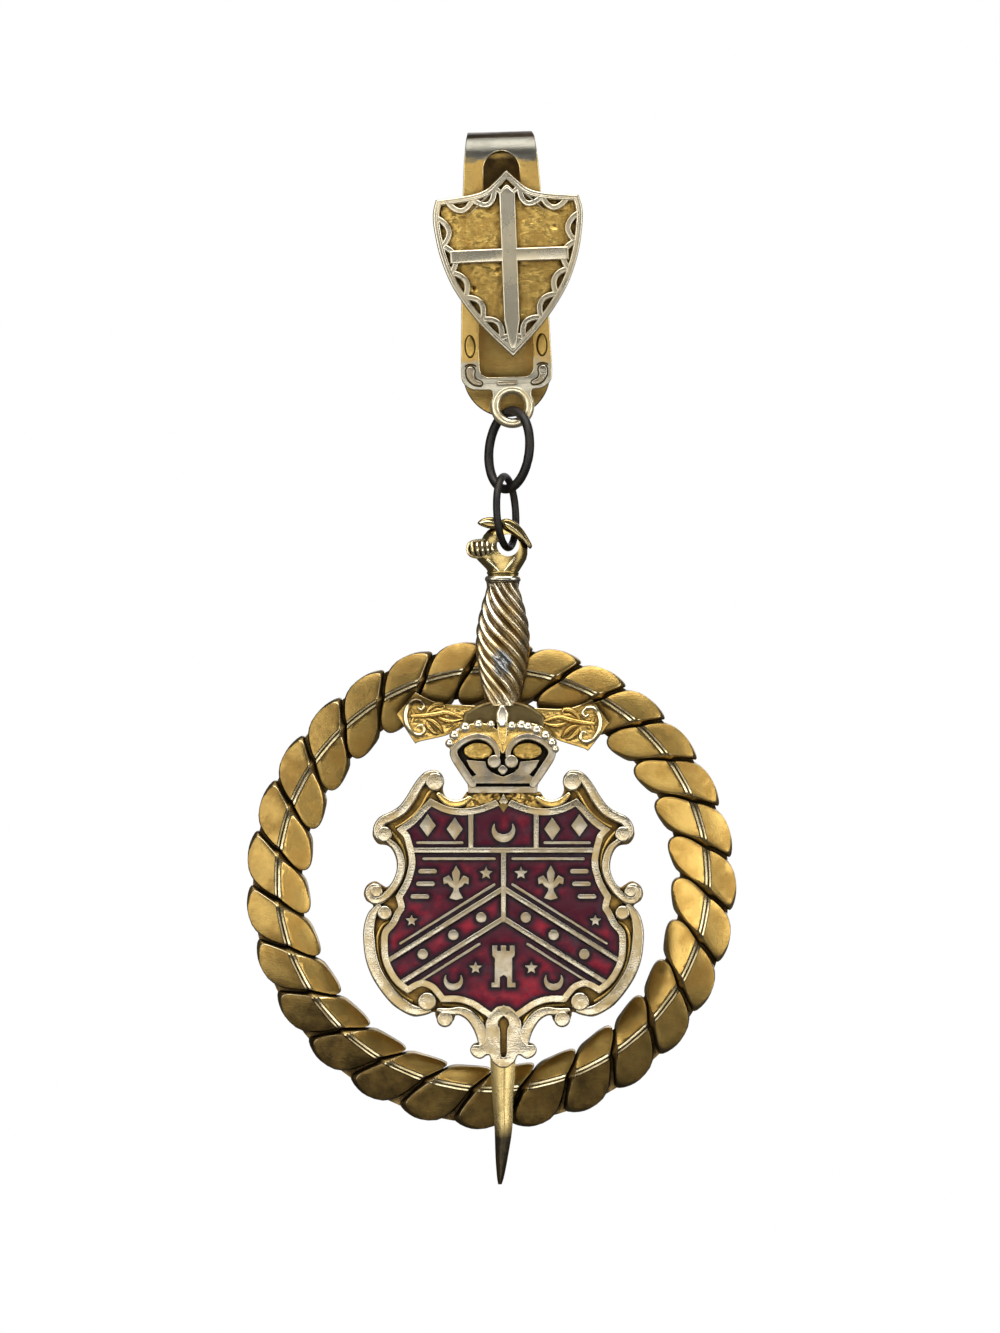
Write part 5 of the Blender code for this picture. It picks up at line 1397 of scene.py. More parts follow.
class Sword:
    """The upright sword: helmet pommel, collar, twisted grip, guard and blade."""

    # the helmet's level sections: z, left and right end in table steps, share of the half depth
    HELMET = (
        (524.5, 499.0, 511.0, 0.30), (526.5, 494.0, 516.0, 0.52), (530.0, 488.0, 520.5, 0.76),
        (535.0, 483.6, 524.4, 0.92), (541.0, 480.8, 526.8, 1.00), (548.0, 477.8, 527.8, 1.00),
        (554.0, 475.0, 527.6, 0.98), (559.0, 476.6, 526.4, 0.95), (564.0, 481.4, 523.6, 0.90),
        (568.5, 485.8, 520.8, 0.86), (572.0, 488.0, 518.6, 0.84), (577.0, 487.6, 518.8, 0.84),
    )
    # lines on the helmet: the visor's edges and the cheeks
    BROW = ((467.4, 548.6), (469.2, 543.6), (475.0, 541.0), (485.0, 540.2), (500.0, 540.6))
    CHIN = ((467.4, 549.0), (469.4, 554.2), (475.0, 556.8), (485.0, 556.6), (498.0, 554.2))
    CHEEKS = (
        ((486.5, 559.5), (492.5, 564.0), (499.0, 571.5)),
        ((515.0, 557.5), (510.0, 564.0), (504.0, 571.5)),
    )
    LEAF_LEFT = (
        (477.6, 523.4), (481.0, 519.4), (487.0, 517.2), (494.0, 517.2), (500.5, 518.8), (503.0, 523.0),
        (499.0, 527.6), (492.0, 528.6), (485.0, 527.2),
    )
    LEAF_RIGHT = (
        (501.0, 521.0), (505.0, 518.6), (511.0, 519.6), (517.5, 523.6), (523.5, 530.0), (528.5, 538.0),
        (532.2, 545.4), (530.2, 548.6), (526.5, 545.4), (520.5, 540.2), (513.0, 534.6), (505.0, 528.6),
    )
    CREASES = (
        ((480.0, 523.4), (487.0, 521.6), (496.0, 523.0)),
        ((505.0, 523.6), (513.0, 528.0), (521.0, 535.4), (529.6, 546.2)),
    )
    VISOR = (485.6, 548.8)         # table x and z of its middle
    VISOR_HALF = (1.98, 0.98)      # half width and half height
    BAR_FIRST, BAR_APART = 472.0, 5.2
    BARS = 5
    # the wide ridge of a flute and the thin one beside it, in shares of a flute, and the thin one's height
    WIDE_RIDGE = 0.70
    THIN_RIDGE = (0.76, 0.95)
    THIN_HEIGHT = 0.32
    # the worn patch of the grip: angle and share of the length, of its middle and of its half size
    WORN = (1.62, 0.66)
    WORN_HALF = (0.38, 0.095)
    RIVETS = (22.6, -22.6)         # heights over the ring's centre
    BLACK_FROM = -103.6            # height below which the blade's point turns black
    SWELL = (
        (0.00, 0.66), (0.06, 0.60), (0.13, 0.70), (0.24, 0.84), (0.36, 0.96), (0.47, 1.00), (0.60, 0.985),
        (0.70, 0.93), (0.80, 0.84), (0.90, 0.73), (1.00, 0.68),
    )
    # the left arm as it hangs: outline, scroll, leaves (x, z in table steps)
    GUARD_EDGE = (
        (484.0, 706.0), (466.0, 705.2), (448.5, 704.4), (438.6, 702.5), (432.4, 701.0), (423.0, 696.5),
        (415.2, 692.2), (408.5, 700.5), (396.5, 714.4), (405.5, 729.0), (415.2, 743.8), (420.0, 741.6),
        (432.4, 738.9), (447.7, 735.0), (461.0, 727.5), (484.0, 728.0),
    )
    GUARD_CORNERS = (0, 6, 8, 10, 15)
    BOSS = (
        (462.0, 716.0), (470.0, 708.5), (483.0, 702.0), (503.0, 698.8), (524.0, 702.5), (537.0, 709.5),
        (546.0, 718.0), (540.0, 735.0), (503.0, 740.0), (466.0, 733.0),
    )
    SCROLL = (
        (417.5, 707.5, 0.12), (421.0, 710.0, 0.14), (423.8, 706.5, 0.16), (421.0, 701.8, 0.18),
        (414.8, 700.4, 0.20), (408.9, 704.6, 0.22), (405.5, 712.8, 0.24), (406.1, 722.0, 0.24),
        (409.6, 729.6, 0.22), (415.6, 734.6, 0.20), (421.5, 734.5, 0.18), (424.4, 730.2, 0.16),
        (422.0, 725.4, 0.14), (417.6, 726.6, 0.12),
    )
    LEAVES = (
        ((411.0, 716.4, 0.16), (420.0, 716.2, 0.20), (430.0, 715.4, 0.24), (438.0, 714.2, 0.26),
         (446.0, 712.6, 0.20), (455.0, 715.0, 0.14), (463.5, 719.0, 0.06)),
        ((438.0, 717.0, 0.10), (446.0, 721.0, 0.22), (455.0, 721.4, 0.16), (463.5, 719.0, 0.06)),
        ((426.5, 713.5, 0.12), (430.0, 708.5, 0.22), (436.0, 704.9, 0.24), (442.5, 704.8, 0.18),
         (443.6, 708.0, 0.12), (439.5, 709.0, 0.08)),
        ((430.0, 712.5, 0.10), (437.0, 709.6, 0.18), (444.5, 711.0, 0.08)),
        ((425.5, 719.0, 0.10), (432.0, 721.0, 0.20), (438.5, 726.5, 0.24), (442.8, 733.6, 0.08)),
        ((426.5, 722.5, 0.10), (429.5, 728.0, 0.22), (434.5, 733.0, 0.18), (438.6, 733.8, 0.08)),
        ((412.0, 709.5, 0.10), (414.0, 716.0, 0.14), (411.5, 722.5, 0.10)),
    )
    BLADE = (
        (0.00, 1.00, 0.00), (0.20, 0.92, 0.00), (0.40, 0.81, 0.00), (0.55, 0.74, 0.00), (0.65, 0.70, 0.00),
        (0.755, 0.66, 0.00), (0.82, 0.55, 0.00), (0.88, 0.48, 0.03), (0.94, 0.34, -0.06),
        (0.985, 0.19, -0.13), (1.00, 0.10, -0.16),
    )

    def __init__(self, finishes: Finishes, sizes: SwordSizes = SwordSizes()) -> None:
        """Keep the finishes and the sizes."""
        self.finishes = finishes
        self.sizes = sizes

    @staticmethod
    def read(table: Sequence[Sequence[float]], share: float) -> list[float]:
        """Read a table of rows (share, value, ...) with a smooth curve through its rows."""
        last = len(table) - 2
        index = max(0, min(last, sum(1 for row in table[1:] if row[0] < share)))
        low, high = table[index], table[index + 1]
        before, after = table[max(0, index - 1)], table[min(len(table) - 1, index + 2)]
        width = high[0] - low[0]
        t = (share - low[0]) / width
        values = []
        for column in range(1, len(low)):
            start = (high[column] - before[column]) / (high[0] - before[0]) * width
            end = (after[column] - low[column]) / (after[0] - low[0]) * width
            values.append(eased(low[column], high[column], start, end, t))
        return values

    def stroke(self, name: str, table: Sequence[Triple], y: float, swell: float, flat: float) -> Thing:
        """A wire in a Y plane through table places.

        Args:
            name: the object's name.
            table: rows of x and z in table steps and the radius there.
            y: the plane.
            swell: factor of all radii.
            flat: factor of the thickness along Y.

        Returns:
            The mesh object.
        """
        steps = 6
        path = smooth([at(x, z) for x, z, _ in table], closed=False, steps=steps)
        sizes = [radius * swell for _, _, radius in table]
        radii = [low + (high - low) * step / steps
                 for low, high in zip(sizes, sizes[1:]) for step in range(steps)]
        return wire(name, line(path, y), radii + sizes[-1:], sides=12, flat=flat)

    @staticmethod
    def level_oval(x: float, z: float, half_width: float, half_depth: float,
                   points: int = 40) -> list[Triple]:
        """A level oval section round the hanging plane."""
        return [(x + half_width * math.cos(a), HANG_Y + half_depth * math.sin(a), z)
                for a in (2 * math.pi * number / points for number in range(points))]

    def pierced(self, thing: Thing) -> Thing:
        """Cut the pommel's hole through a piece."""
        ends = [(PIERCE[0], HANG_Y + reach, PIERCE[1]) for reach in (-3.0, 3.0)]
        cutter = wire("drill", ends, self.sizes.hole, sides=32)
        cut = thing.modifiers.new("hole", "BOOLEAN")
        cut.operation = "DIFFERENCE"
        cut.object = cutter
        solo(thing)
        bpy.ops.object.modifier_apply(modifier=cut.name)
        bpy.data.objects.remove(cutter)
        return thing

    def helmet(self) -> list[Thing]:
        """The helmet pommel with its visor, plume and neck."""
        sizes, finishes = self.sizes, self.finishes
        half = sizes.pommel_half
        sections = []
        for level, left, right, depth in self.HELMET:
            (first, z), (last, _) = at(left, level), at(right, level)
            sections.append(self.level_oval((first + last) / 2, z, (last - first) / 2, half * depth, 48))
        skull = self.pierced(lofted("skull", sections))
        things = [coat(skull, finishes.helmet)]
        visor_x, visor_z = at(*self.VISOR)
        visor = (self.VISOR_HALF[0], half * 1.03, self.VISOR_HALF[1])
        # the visor's body takes the dark wall finish: painted shade in the gaps between its bars
        cage = self.pierced(ball("visor", (visor_x, HANG_Y, visor_z), visor, 40, 24))
        things.append(coat(cage, finishes.wall))

        def on_visor(px: float, pz: float, sign: int) -> Triple:
            """A place just outside the visor's surface."""
            x, z = at(px, pz)
            inside = 1.0 - ((x - visor_x) / visor[0]) ** 2 - ((z - visor_z) / visor[2]) ** 2
            return x, HANG_Y + sign * (visor[1] * math.sqrt(max(0.12, inside)) + 0.02), z

        for sign in (-1, 1):
            for number in range(self.BARS):
                bar_x = self.BAR_FIRST + self.BAR_APART * number
                bow = 1.2 * (1.0 - number / (self.BARS - 1))
                path = [on_visor(bar_x + 0.25 * step + bow * (step / 3) ** 2, 542.2 + 2.1 * (step + 3), sign)
                        for step in range(-3, 4)]
                things.append(coat(wire("bar", path, 0.18, sides=10), finishes.ridge))
            for table in (self.BROW, self.CHIN):
                path = [on_visor(px, pz, sign) for px, pz in smooth(table, closed=False, steps=4)]
                things.append(coat(wire("visor_edge", path, 0.17, sides=10), finishes.ridge))
            # the pale cheek wires paint the highlights on the helmet's cheeks
            for table in self.CHEEKS:
                path = line(places(table), HANG_Y + sign * half * 0.77)
                things.append(coat(wire("cheek", path, (0.18, 0.26, 0.10), sides=12), finishes.ridge))
        # the plume's sides take the dull finish: painted shade on the leaves' undersides
        for leaf, depth in ((self.LEAF_LEFT, 0.80), (self.LEAF_RIGHT, 1.0)):
            loop = smooth(places(leaf), steps=4)
            blade = plate("plume", [loop], HANG_Y - half * depth, HANG_Y + half * depth, 0.34, 5)
            things.append(coat(self.pierced(blade), finishes.helmet, finishes.helmet, finishes.dull))
        for crease in self.CREASES:
            for sign in (-1, 1):
                path = line(smooth(places(crease), closed=False, steps=5), HANG_Y + sign * half * 0.93)
                things.append(coat(wire("crease", path, 0.13, sides=8), finishes.ridge))
        roll = self.level_oval(sizes.x, sizes.collar_z + 0.75, sizes.collar_half - 0.42, half - 0.30)
        things.append(coat(wire("neck_roll", roll, 0.22, closed=True, sides=12), finishes.helmet))
        thick = sizes.collar_wire
        collar = self.level_oval(sizes.x, sizes.collar_z + 0.10, sizes.collar_half - thick, half - thick)
        things.append(coat(wire("collar", collar, thick, closed=True, sides=16), finishes.silver_rim))
        ends = [self.level_oval(sizes.x, sizes.collar_z + lift, sizes.collar_half * 0.82, half * 0.80)
                for lift in (-0.3, 1.3)]
        things.append(coat(lofted("core", ends), finishes.wall))
        return things

    def ridge(self, angle: float, twist: float) -> float:
        """Height of the grip's flutes at an angle: a wide ridge, then a thin one."""
        turn = ((angle + twist) * self.sizes.flutes / (2 * math.pi)) % 1.0
        if turn < self.WIDE_RIDGE:
            return math.sin(math.pi * turn / self.WIDE_RIDGE) ** 0.7
        start, end = self.THIN_RIDGE
        if start < turn < end:
            return self.THIN_HEIGHT * math.sin(math.pi * (turn - start) / (end - start))
        return 0.0

    def worn(self, angle: float, share: float) -> float:
        """How far the grip's ridges are worn away at an angle and a share of its length."""
        across, along = ((value - middle) / half
                         for value, middle, half in zip((angle, share), self.WORN, self.WORN_HALF))
        return math.exp(-across ** 2 - along ** 2)

    def grip(self) -> Thing:
        """The twisted grip: wide rounded flutes with a thin ridge between them."""
        sizes = self.sizes
        rings, steps = 150, 100
        sections = []
        for ring in range(rings + 1):
            share = ring / rings
            half = sizes.grip_half * self.read(self.SWELL, share)[0]
            depth = sizes.grip_depth * (0.35 + 0.65 * half / sizes.grip_half)
            z = sizes.collar_z - sizes.grip_length * share
            twist = sizes.grip_length * share / sizes.grip_half
            section = []
            for step in range(steps + 1):
                angle = math.pi * step / steps
                ridge = self.ridge(angle, twist)
                fade = math.sin(angle) ** 0.4 * min(1.0, share * 14, (1 - share) * 7)
                worn = 0.9 * self.worn(angle, share)
                swell = 1.0 + sizes.flute / sizes.grip_half * (ridge * (1 - worn) + worn * 0.6 - 0.5) * fade
                section.append((sizes.x + half * swell * math.cos(angle),
                                SWORD_BACK - 0.15 - (depth - 0.15) * swell * math.sin(angle), z))
            section.append((sizes.x - half * 0.96, SWORD_BACK, z))
            section.append((sizes.x + half * 0.96, SWORD_BACK, z))
            sections.append(section)
        return coat(lofted("grip", sections), self.finishes.grip)

    def guard(self) -> list[Thing]:
        """The guard: a boss and two arms with raised scrolls and leaves."""
        sizes, finishes = self.sizes, self.finishes
        front = SWORD_BACK - sizes.guard_thick
        middle = (sizes.x, 0.0, sizes.guard_z)
        outline = smooth(places(self.GUARD_EDGE), steps=4, corners=self.GUARD_CORNERS)
        slab = plate("arm", [outline], front, SWORD_BACK - 0.06, 0.10, 2)
        arm = [coat(slab, finishes.gold, finishes.ridge, finishes.wall)]
        ground = plate("arm_ground", [offset(outline, -0.34)], front - 0.05, front + 0.3, 0.02, 1)
        gridded(ground, 0.16, (-10.8, sizes.guard_z - 2.6), range(56), range(34))
        arm.append(coat(roughened(ground, front, 1.7, 0.09), finishes.rim_gold))
        arm.append(coat(self.stroke("scroll", self.SCROLL, front - 0.08, 1.3, 1.1), finishes.ridge))
        for leaf in self.LEAVES:
            arm.append(coat(self.stroke("leaf", leaf, front - 0.10, 1.35, 1.05), finishes.rim_gold))
        left = joined("arm", arm)
        swap = (Matrix.Translation(middle) @ Matrix.Scale(-1.0, 4, (1, 0, 0))
                @ Matrix.Translation(-Vector(middle)))
        right = copied(left, turned(middle, sizes.guard_lean) @ swap @ turned(middle, -sizes.guard_lean))
        boss = plate("boss", [smooth(places(self.BOSS), steps=4)], front - 0.30, SWORD_BACK, 0.55, 6)
        return [left, right, coat(boss, finishes.hump, finishes.hump, finishes.wall)]

    def blade(self) -> Thing:
        """The blade: flat behind, ridged in front, black at its point."""
        sizes = self.sizes
        rings, steps = 90, 16
        back = SWORD_BACK - 0.2
        sections = []
        for ring in range(rings + 1):
            share = ring / rings
            width, shift = self.read(self.BLADE, share)
            half = sizes.blade_half * width
            x = sizes.x + sizes.blade_half * shift
            z = sizes.guard_z - sizes.blade_length * share
            thick = sizes.blade_thick * min(1.0, 0.35 + width)
            section = [(x - half, back, z)]
            for step in range(steps + 1):
                across = -1.0 + 2.0 * step / steps
                section.append((x + half * across, back - thick * (1.0 - 0.55 * abs(across) ** 1.35), z))
            section.append((x + half, back, z))
            sections.append(section)
        return coat(lofted("blade", sections), self.finishes.blade)

    def share_of_grip(self, place: Vector) -> float:
        """How far down the grip a place lies, from 0 at the collar to 1 at the guard."""
        return (self.sizes.collar_z - place.z) / self.sizes.grip_length

    def across_grip(self, place: Vector) -> float:
        """How far to the side a place of the grip lies, from -1 to 1."""
        half = self.sizes.grip_half * self.read(self.SWELL, self.share_of_grip(place))[0]
        return held((place.x - self.sizes.x) / half, -1.0)

    def build(self) -> None:
        """Put the whole sword together."""
        sizes = self.sizes
        things = self.helmet() + [self.grip()] + self.guard() + [self.blade()]
        for lift in self.RIVETS:
            place = (sizes.x, RING_CENTRE[1] + lift)
            things += rivet(self.finishes, place, SWORD_BACK - 0.4, 2.6, 2.6)
        sword = joined("sword_relief", things)

        def tarnish_and_shade(place: Vector) -> float:
            """Black at the blade's point; painted shade in the grip's grooves and towards its sides."""
            share = self.share_of_grip(place)
            if 0.0 < share < 1.0:
                across = self.across_grip(place)
                groove = 1.0 - self.ridge(math.acos(across), sizes.grip_length * share / sizes.grip_half)
                worn = self.worn(math.acos(across), share)
                return min(0.95, 0.95 * groove * (1.0 - worn) + 0.5 * across ** 6)
            return held((self.BLACK_FROM - place.z) / 1.6)

        def patch(place: Vector) -> float:
            """Steel grey where the grip's ridges are worn away."""
            share = self.share_of_grip(place)
            if not 0.0 < share < 1.0 or place.y > SWORD_BACK - 0.5:
                return 0.0
            return min(1.0, 1.5 * self.worn(math.acos(self.across_grip(place)), share))

        with_vertex_values(sword, patch, "cast")
        settle(with_vertex_values(sword, tarnish_and_shade), Body.MEDAL, "sword")


# The crowned shield


@dataclass(frozen=True)
class ShieldSizes:
    """Sizes of the crowned shield; table steps where a comment says so."""

    axis: float = 503.5            # table x of the frame's middle line
    crown_axis: float = 502.8      # table x of the crown's middle line
    base_front: float = -4.28
    enamel_front: float = -4.60
    enamel_back: float = -4.20
    line: float = 0.54             # width of the raised lines
    hairline: float = 0.27         # width of the thin lines
    inner_line: float = 0.60
    step: float = 0.03             # between strokes that cross
    half_width: float = 139.0      # table steps, for the shares of the heraldic layout
    height: float = 286.0          # table steps
    top: float = 780.0             # table z
    chief: float = 850.0           # table z
    split: float = 32.6            # table steps
    chevron: float = 888.0         # table z
    fall: float = 87.0             # table steps over the half width
    band: float = 30.0             # table steps


class Layout:
    """The generic heraldic layout: the cells, the lines and the figures of the enamel."""

    # the enamel's edge, right half from the top down, and its sharp corners
    EDGE = (
        (503.5, 801.0), (505.1, 802.9), (525.5, 811.0), (543.9, 814.0), (561.2, 811.5), (575.5, 804.9),
        (581.6, 811.0), (591.8, 822.2), (602.0, 829.9), (598.0, 835.0), (595.9, 841.6), (593.4, 851.8),
        (592.3, 862.0), (593.9, 872.2), (598.0, 884.5), (605.1, 896.7), (603.0, 907.0), (606.6, 913.4),
        (612.2, 924.6), (618.9, 932.4), (620.0, 942.4), (618.9, 958.0), (613.3, 971.4), (606.6, 980.4),
        (598.8, 986.5), (591.0, 982.0), (583.2, 980.4), (573.1, 984.3), (566.4, 991.5), (563.0, 996.0),
        (548.6, 996.0), (534.0, 1000.4), (521.8, 1008.3), (515.6, 1012.7), (509.5, 1007.0), (503.5, 1006.0),
    )
    CORNERS = (0, 5, 8, 15, 24, 29, 33)
    # figure, place and half size as shares of the half width and the height
    CHARGES = (
        ("lozenge", 0.35, 0.170, 0.082), ("lozenge", 0.545, 0.158, 0.082),
        ("lily", 0.34, 0.358, 0.125),
        ("bar", 0.545, 0.318, 0.065), ("bar", 0.560, 0.362, 0.065), ("bar", 0.600, 0.406, 0.065),
        ("roundel", 0.16, 0.479, 0.038), ("roundel", 0.36, 0.540, 0.038), ("roundel", 0.58, 0.607, 0.038),
        ("crescent", 0.36, 0.700, 0.070), ("star", 0.20, 0.655, 0.050), ("star", 0.125, 0.325, 0.050),
        ("star", 0.66, 0.490, 0.045),
    )
    MIDDLE_CHARGES = (("crescent", 0.0, 0.176, 0.085), ("tower", 0.0, 0.650, 0.150))
    LILY = (
        (0.00, 1.00), (0.24, 0.58), (0.15, 0.06), (0.42, 0.42), (0.74, 0.28), (0.72, -0.10), (0.50, -0.02),
        (0.34, -0.22), (0.16, -0.30), (0.16, -0.46), (0.40, -0.88), (0.00, -1.00),
    )
    TOWER = (
        (0.00, 1.00), (0.13, 1.00), (0.13, 0.74), (0.30, 0.74), (0.30, 1.00), (0.54, 1.00), (0.54, 0.52),
        (0.42, 0.40), (0.42, -0.78), (0.58, -0.78), (0.58, -1.00), (0.17, -1.00), (0.17, -0.52),
        (0.00, -0.40),
    )

    def __init__(self, sizes: ShieldSizes) -> None:
        """Draw the enamel's edge."""
        self.sizes = sizes
        self.axis = at(sizes.axis, 0.0)[0]
        half = smooth(places(self.EDGE), closed=False, steps=4, corners=self.CORNERS)
        self.edge = mirrored(half, self.axis)

    def charge(self, figure: str, x: float, z: float, size: float) -> Loop:
        """One figure's outline."""
        sizes = self.sizes
        scale = size * sizes.half_width * GRID
        middle = at(sizes.axis + x * sizes.half_width, sizes.top + z * sizes.height)
        shapes = {
            "lozenge": [(0.0, 1.0), (0.72, 0.0), (0.0, -1.0), (-0.72, 0.0)],
            "roundel": round_loop((0.0, 0.0), 1.0, 20),
            "bar": ribbon([(-0.8, 0.0), (0.8, 0.0)], 0.5),
            "crescent": arc((0.0, 0.0), 1.0, -215, 35, 20) + arc((0.0, 0.42), 0.74, 12, -192, 14),
            "lily": mirrored(self.LILY, 0.0),
            "tower": mirrored(self.TOWER, 0.0),
            "star": [(math.sin(math.pi * k / 5) * reach, math.cos(math.pi * k / 5) * reach)
                     for k, reach in enumerate((1.0, 0.45) * 5)],
        }
        return [(middle[0] + px * scale, middle[1] + pz * scale) for px, pz in shapes[figure]]

    def figures(self) -> list[Loop]:
        """All figures' outlines."""
        both = [(figure, side * x, z, size) for figure, x, z, size in self.CHARGES for side in (-1, 1)]
        return [self.charge(*row) for row in both + list(self.MIDDLE_CHARGES)]

    def limits(self) -> dict[str, tuple[Point, Point]]:
        """The cutting lines of the cells, each with a point and the normal of the side that falls away."""
        sizes = self.sizes
        half = sizes.line / 2
        chief = at(0.0, sizes.chief)[1]
        split = sizes.split * GRID
        apex = Vector(at(sizes.axis, sizes.chevron))
        foot = Vector(at(sizes.axis, sizes.chevron + sizes.band))
        cuts = {
            "above_chief": ((0.0, chief + half), (0.0, -1.0)),
            "below_chief": ((0.0, chief - half), (0.0, 1.0)),
        }
        for name, x in (("axis", self.axis), ("left", self.axis - split), ("right", self.axis + split)):
            cuts["east_of_" + name] = ((x + half, 0.0), (-1.0, 0.0))
            cuts["west_of_" + name] = ((x - half, 0.0), (1.0, 0.0))
        for name, side in (("left", -1), ("right", 1)):
            upright = Vector((side * sizes.fall, sizes.half_width)).normalized()
            for corner, place in (("apex_", apex), ("foot_", foot)):
                cuts["over_" + corner + name] = (tuple(place + upright * half), tuple(-upright))
                cuts["under_" + corner + name] = (tuple(place - upright * half), tuple(upright))
        return cuts

    def cells(self) -> dict[str, Loop]:
        """The outline of each enamel cell."""
        cuts = self.limits()
        recipes = {
            "chief_left": ("above_chief", "west_of_left"),
            "chief_middle": ("above_chief", "east_of_left", "west_of_right"),
            "chief_right": ("above_chief", "east_of_right"),
            "field_left": ("below_chief", "west_of_axis", "over_apex_left"),
            "field_right": ("below_chief", "east_of_axis", "over_apex_right"),
            "chevron_left": ("west_of_axis", "under_apex_left", "over_foot_left"),
            "chevron_right": ("east_of_axis", "under_apex_right", "over_foot_right"),
            "base": ("under_foot_left", "under_foot_right"),
        }
        cells = {}
        for name, recipe in recipes.items():
            loop = self.edge
            for cut in recipe:
                loop = clipped(loop, *cuts[cut])
            cells[name] = loop
        return cells

    def strokes(self) -> list[Loop]:
        """The middle lines of the raised lines."""
        sizes = self.sizes
        slope = sizes.fall / sizes.half_width
        # half lengths in table steps: under the chief, over the chevron and under it
        chief, over, under = 91.5, 116.0, 102.5
        edge_z = 811.0
        lines = [[(sizes.axis - chief, sizes.chief), (sizes.axis + chief, sizes.chief)],
                 [(sizes.axis, sizes.chief), (sizes.axis, sizes.chevron + sizes.band + 2.0)]]
        for side in (-1, 1):
            x = sizes.axis + side * sizes.split
            lines.append([(x, sizes.chief), (x, edge_z)])
            for apex, width in ((sizes.chevron, over), (sizes.chevron + sizes.band, under)):
                lines.append([(sizes.axis, apex), (sizes.axis + side * width, apex + width * slope)])
        return [places(path) for path in lines]

    def hairlines(self) -> list[Loop]:
        """The middle lines of the thin lines beside the chevron and under the chief."""
        sizes = self.sizes
        slope = sizes.fall / sizes.half_width
        # height over the middle line, near end, far end and fall of each
        rows = ((sizes.chevron - 9.5, 9.0, 103.0, slope),
                (sizes.chevron + sizes.band + 10.5, 24.0, 86.0, slope),
                (sizes.chief + 8.5, 9.0, 80.0, 0.0),
                (sizes.chief - 7.5, 41.0, 86.0, 0.0))
        return [places([(sizes.axis + side * end, z + end * fall) for end in (near, far)])
                for side in (-1, 1) for z, near, far, fall in rows]


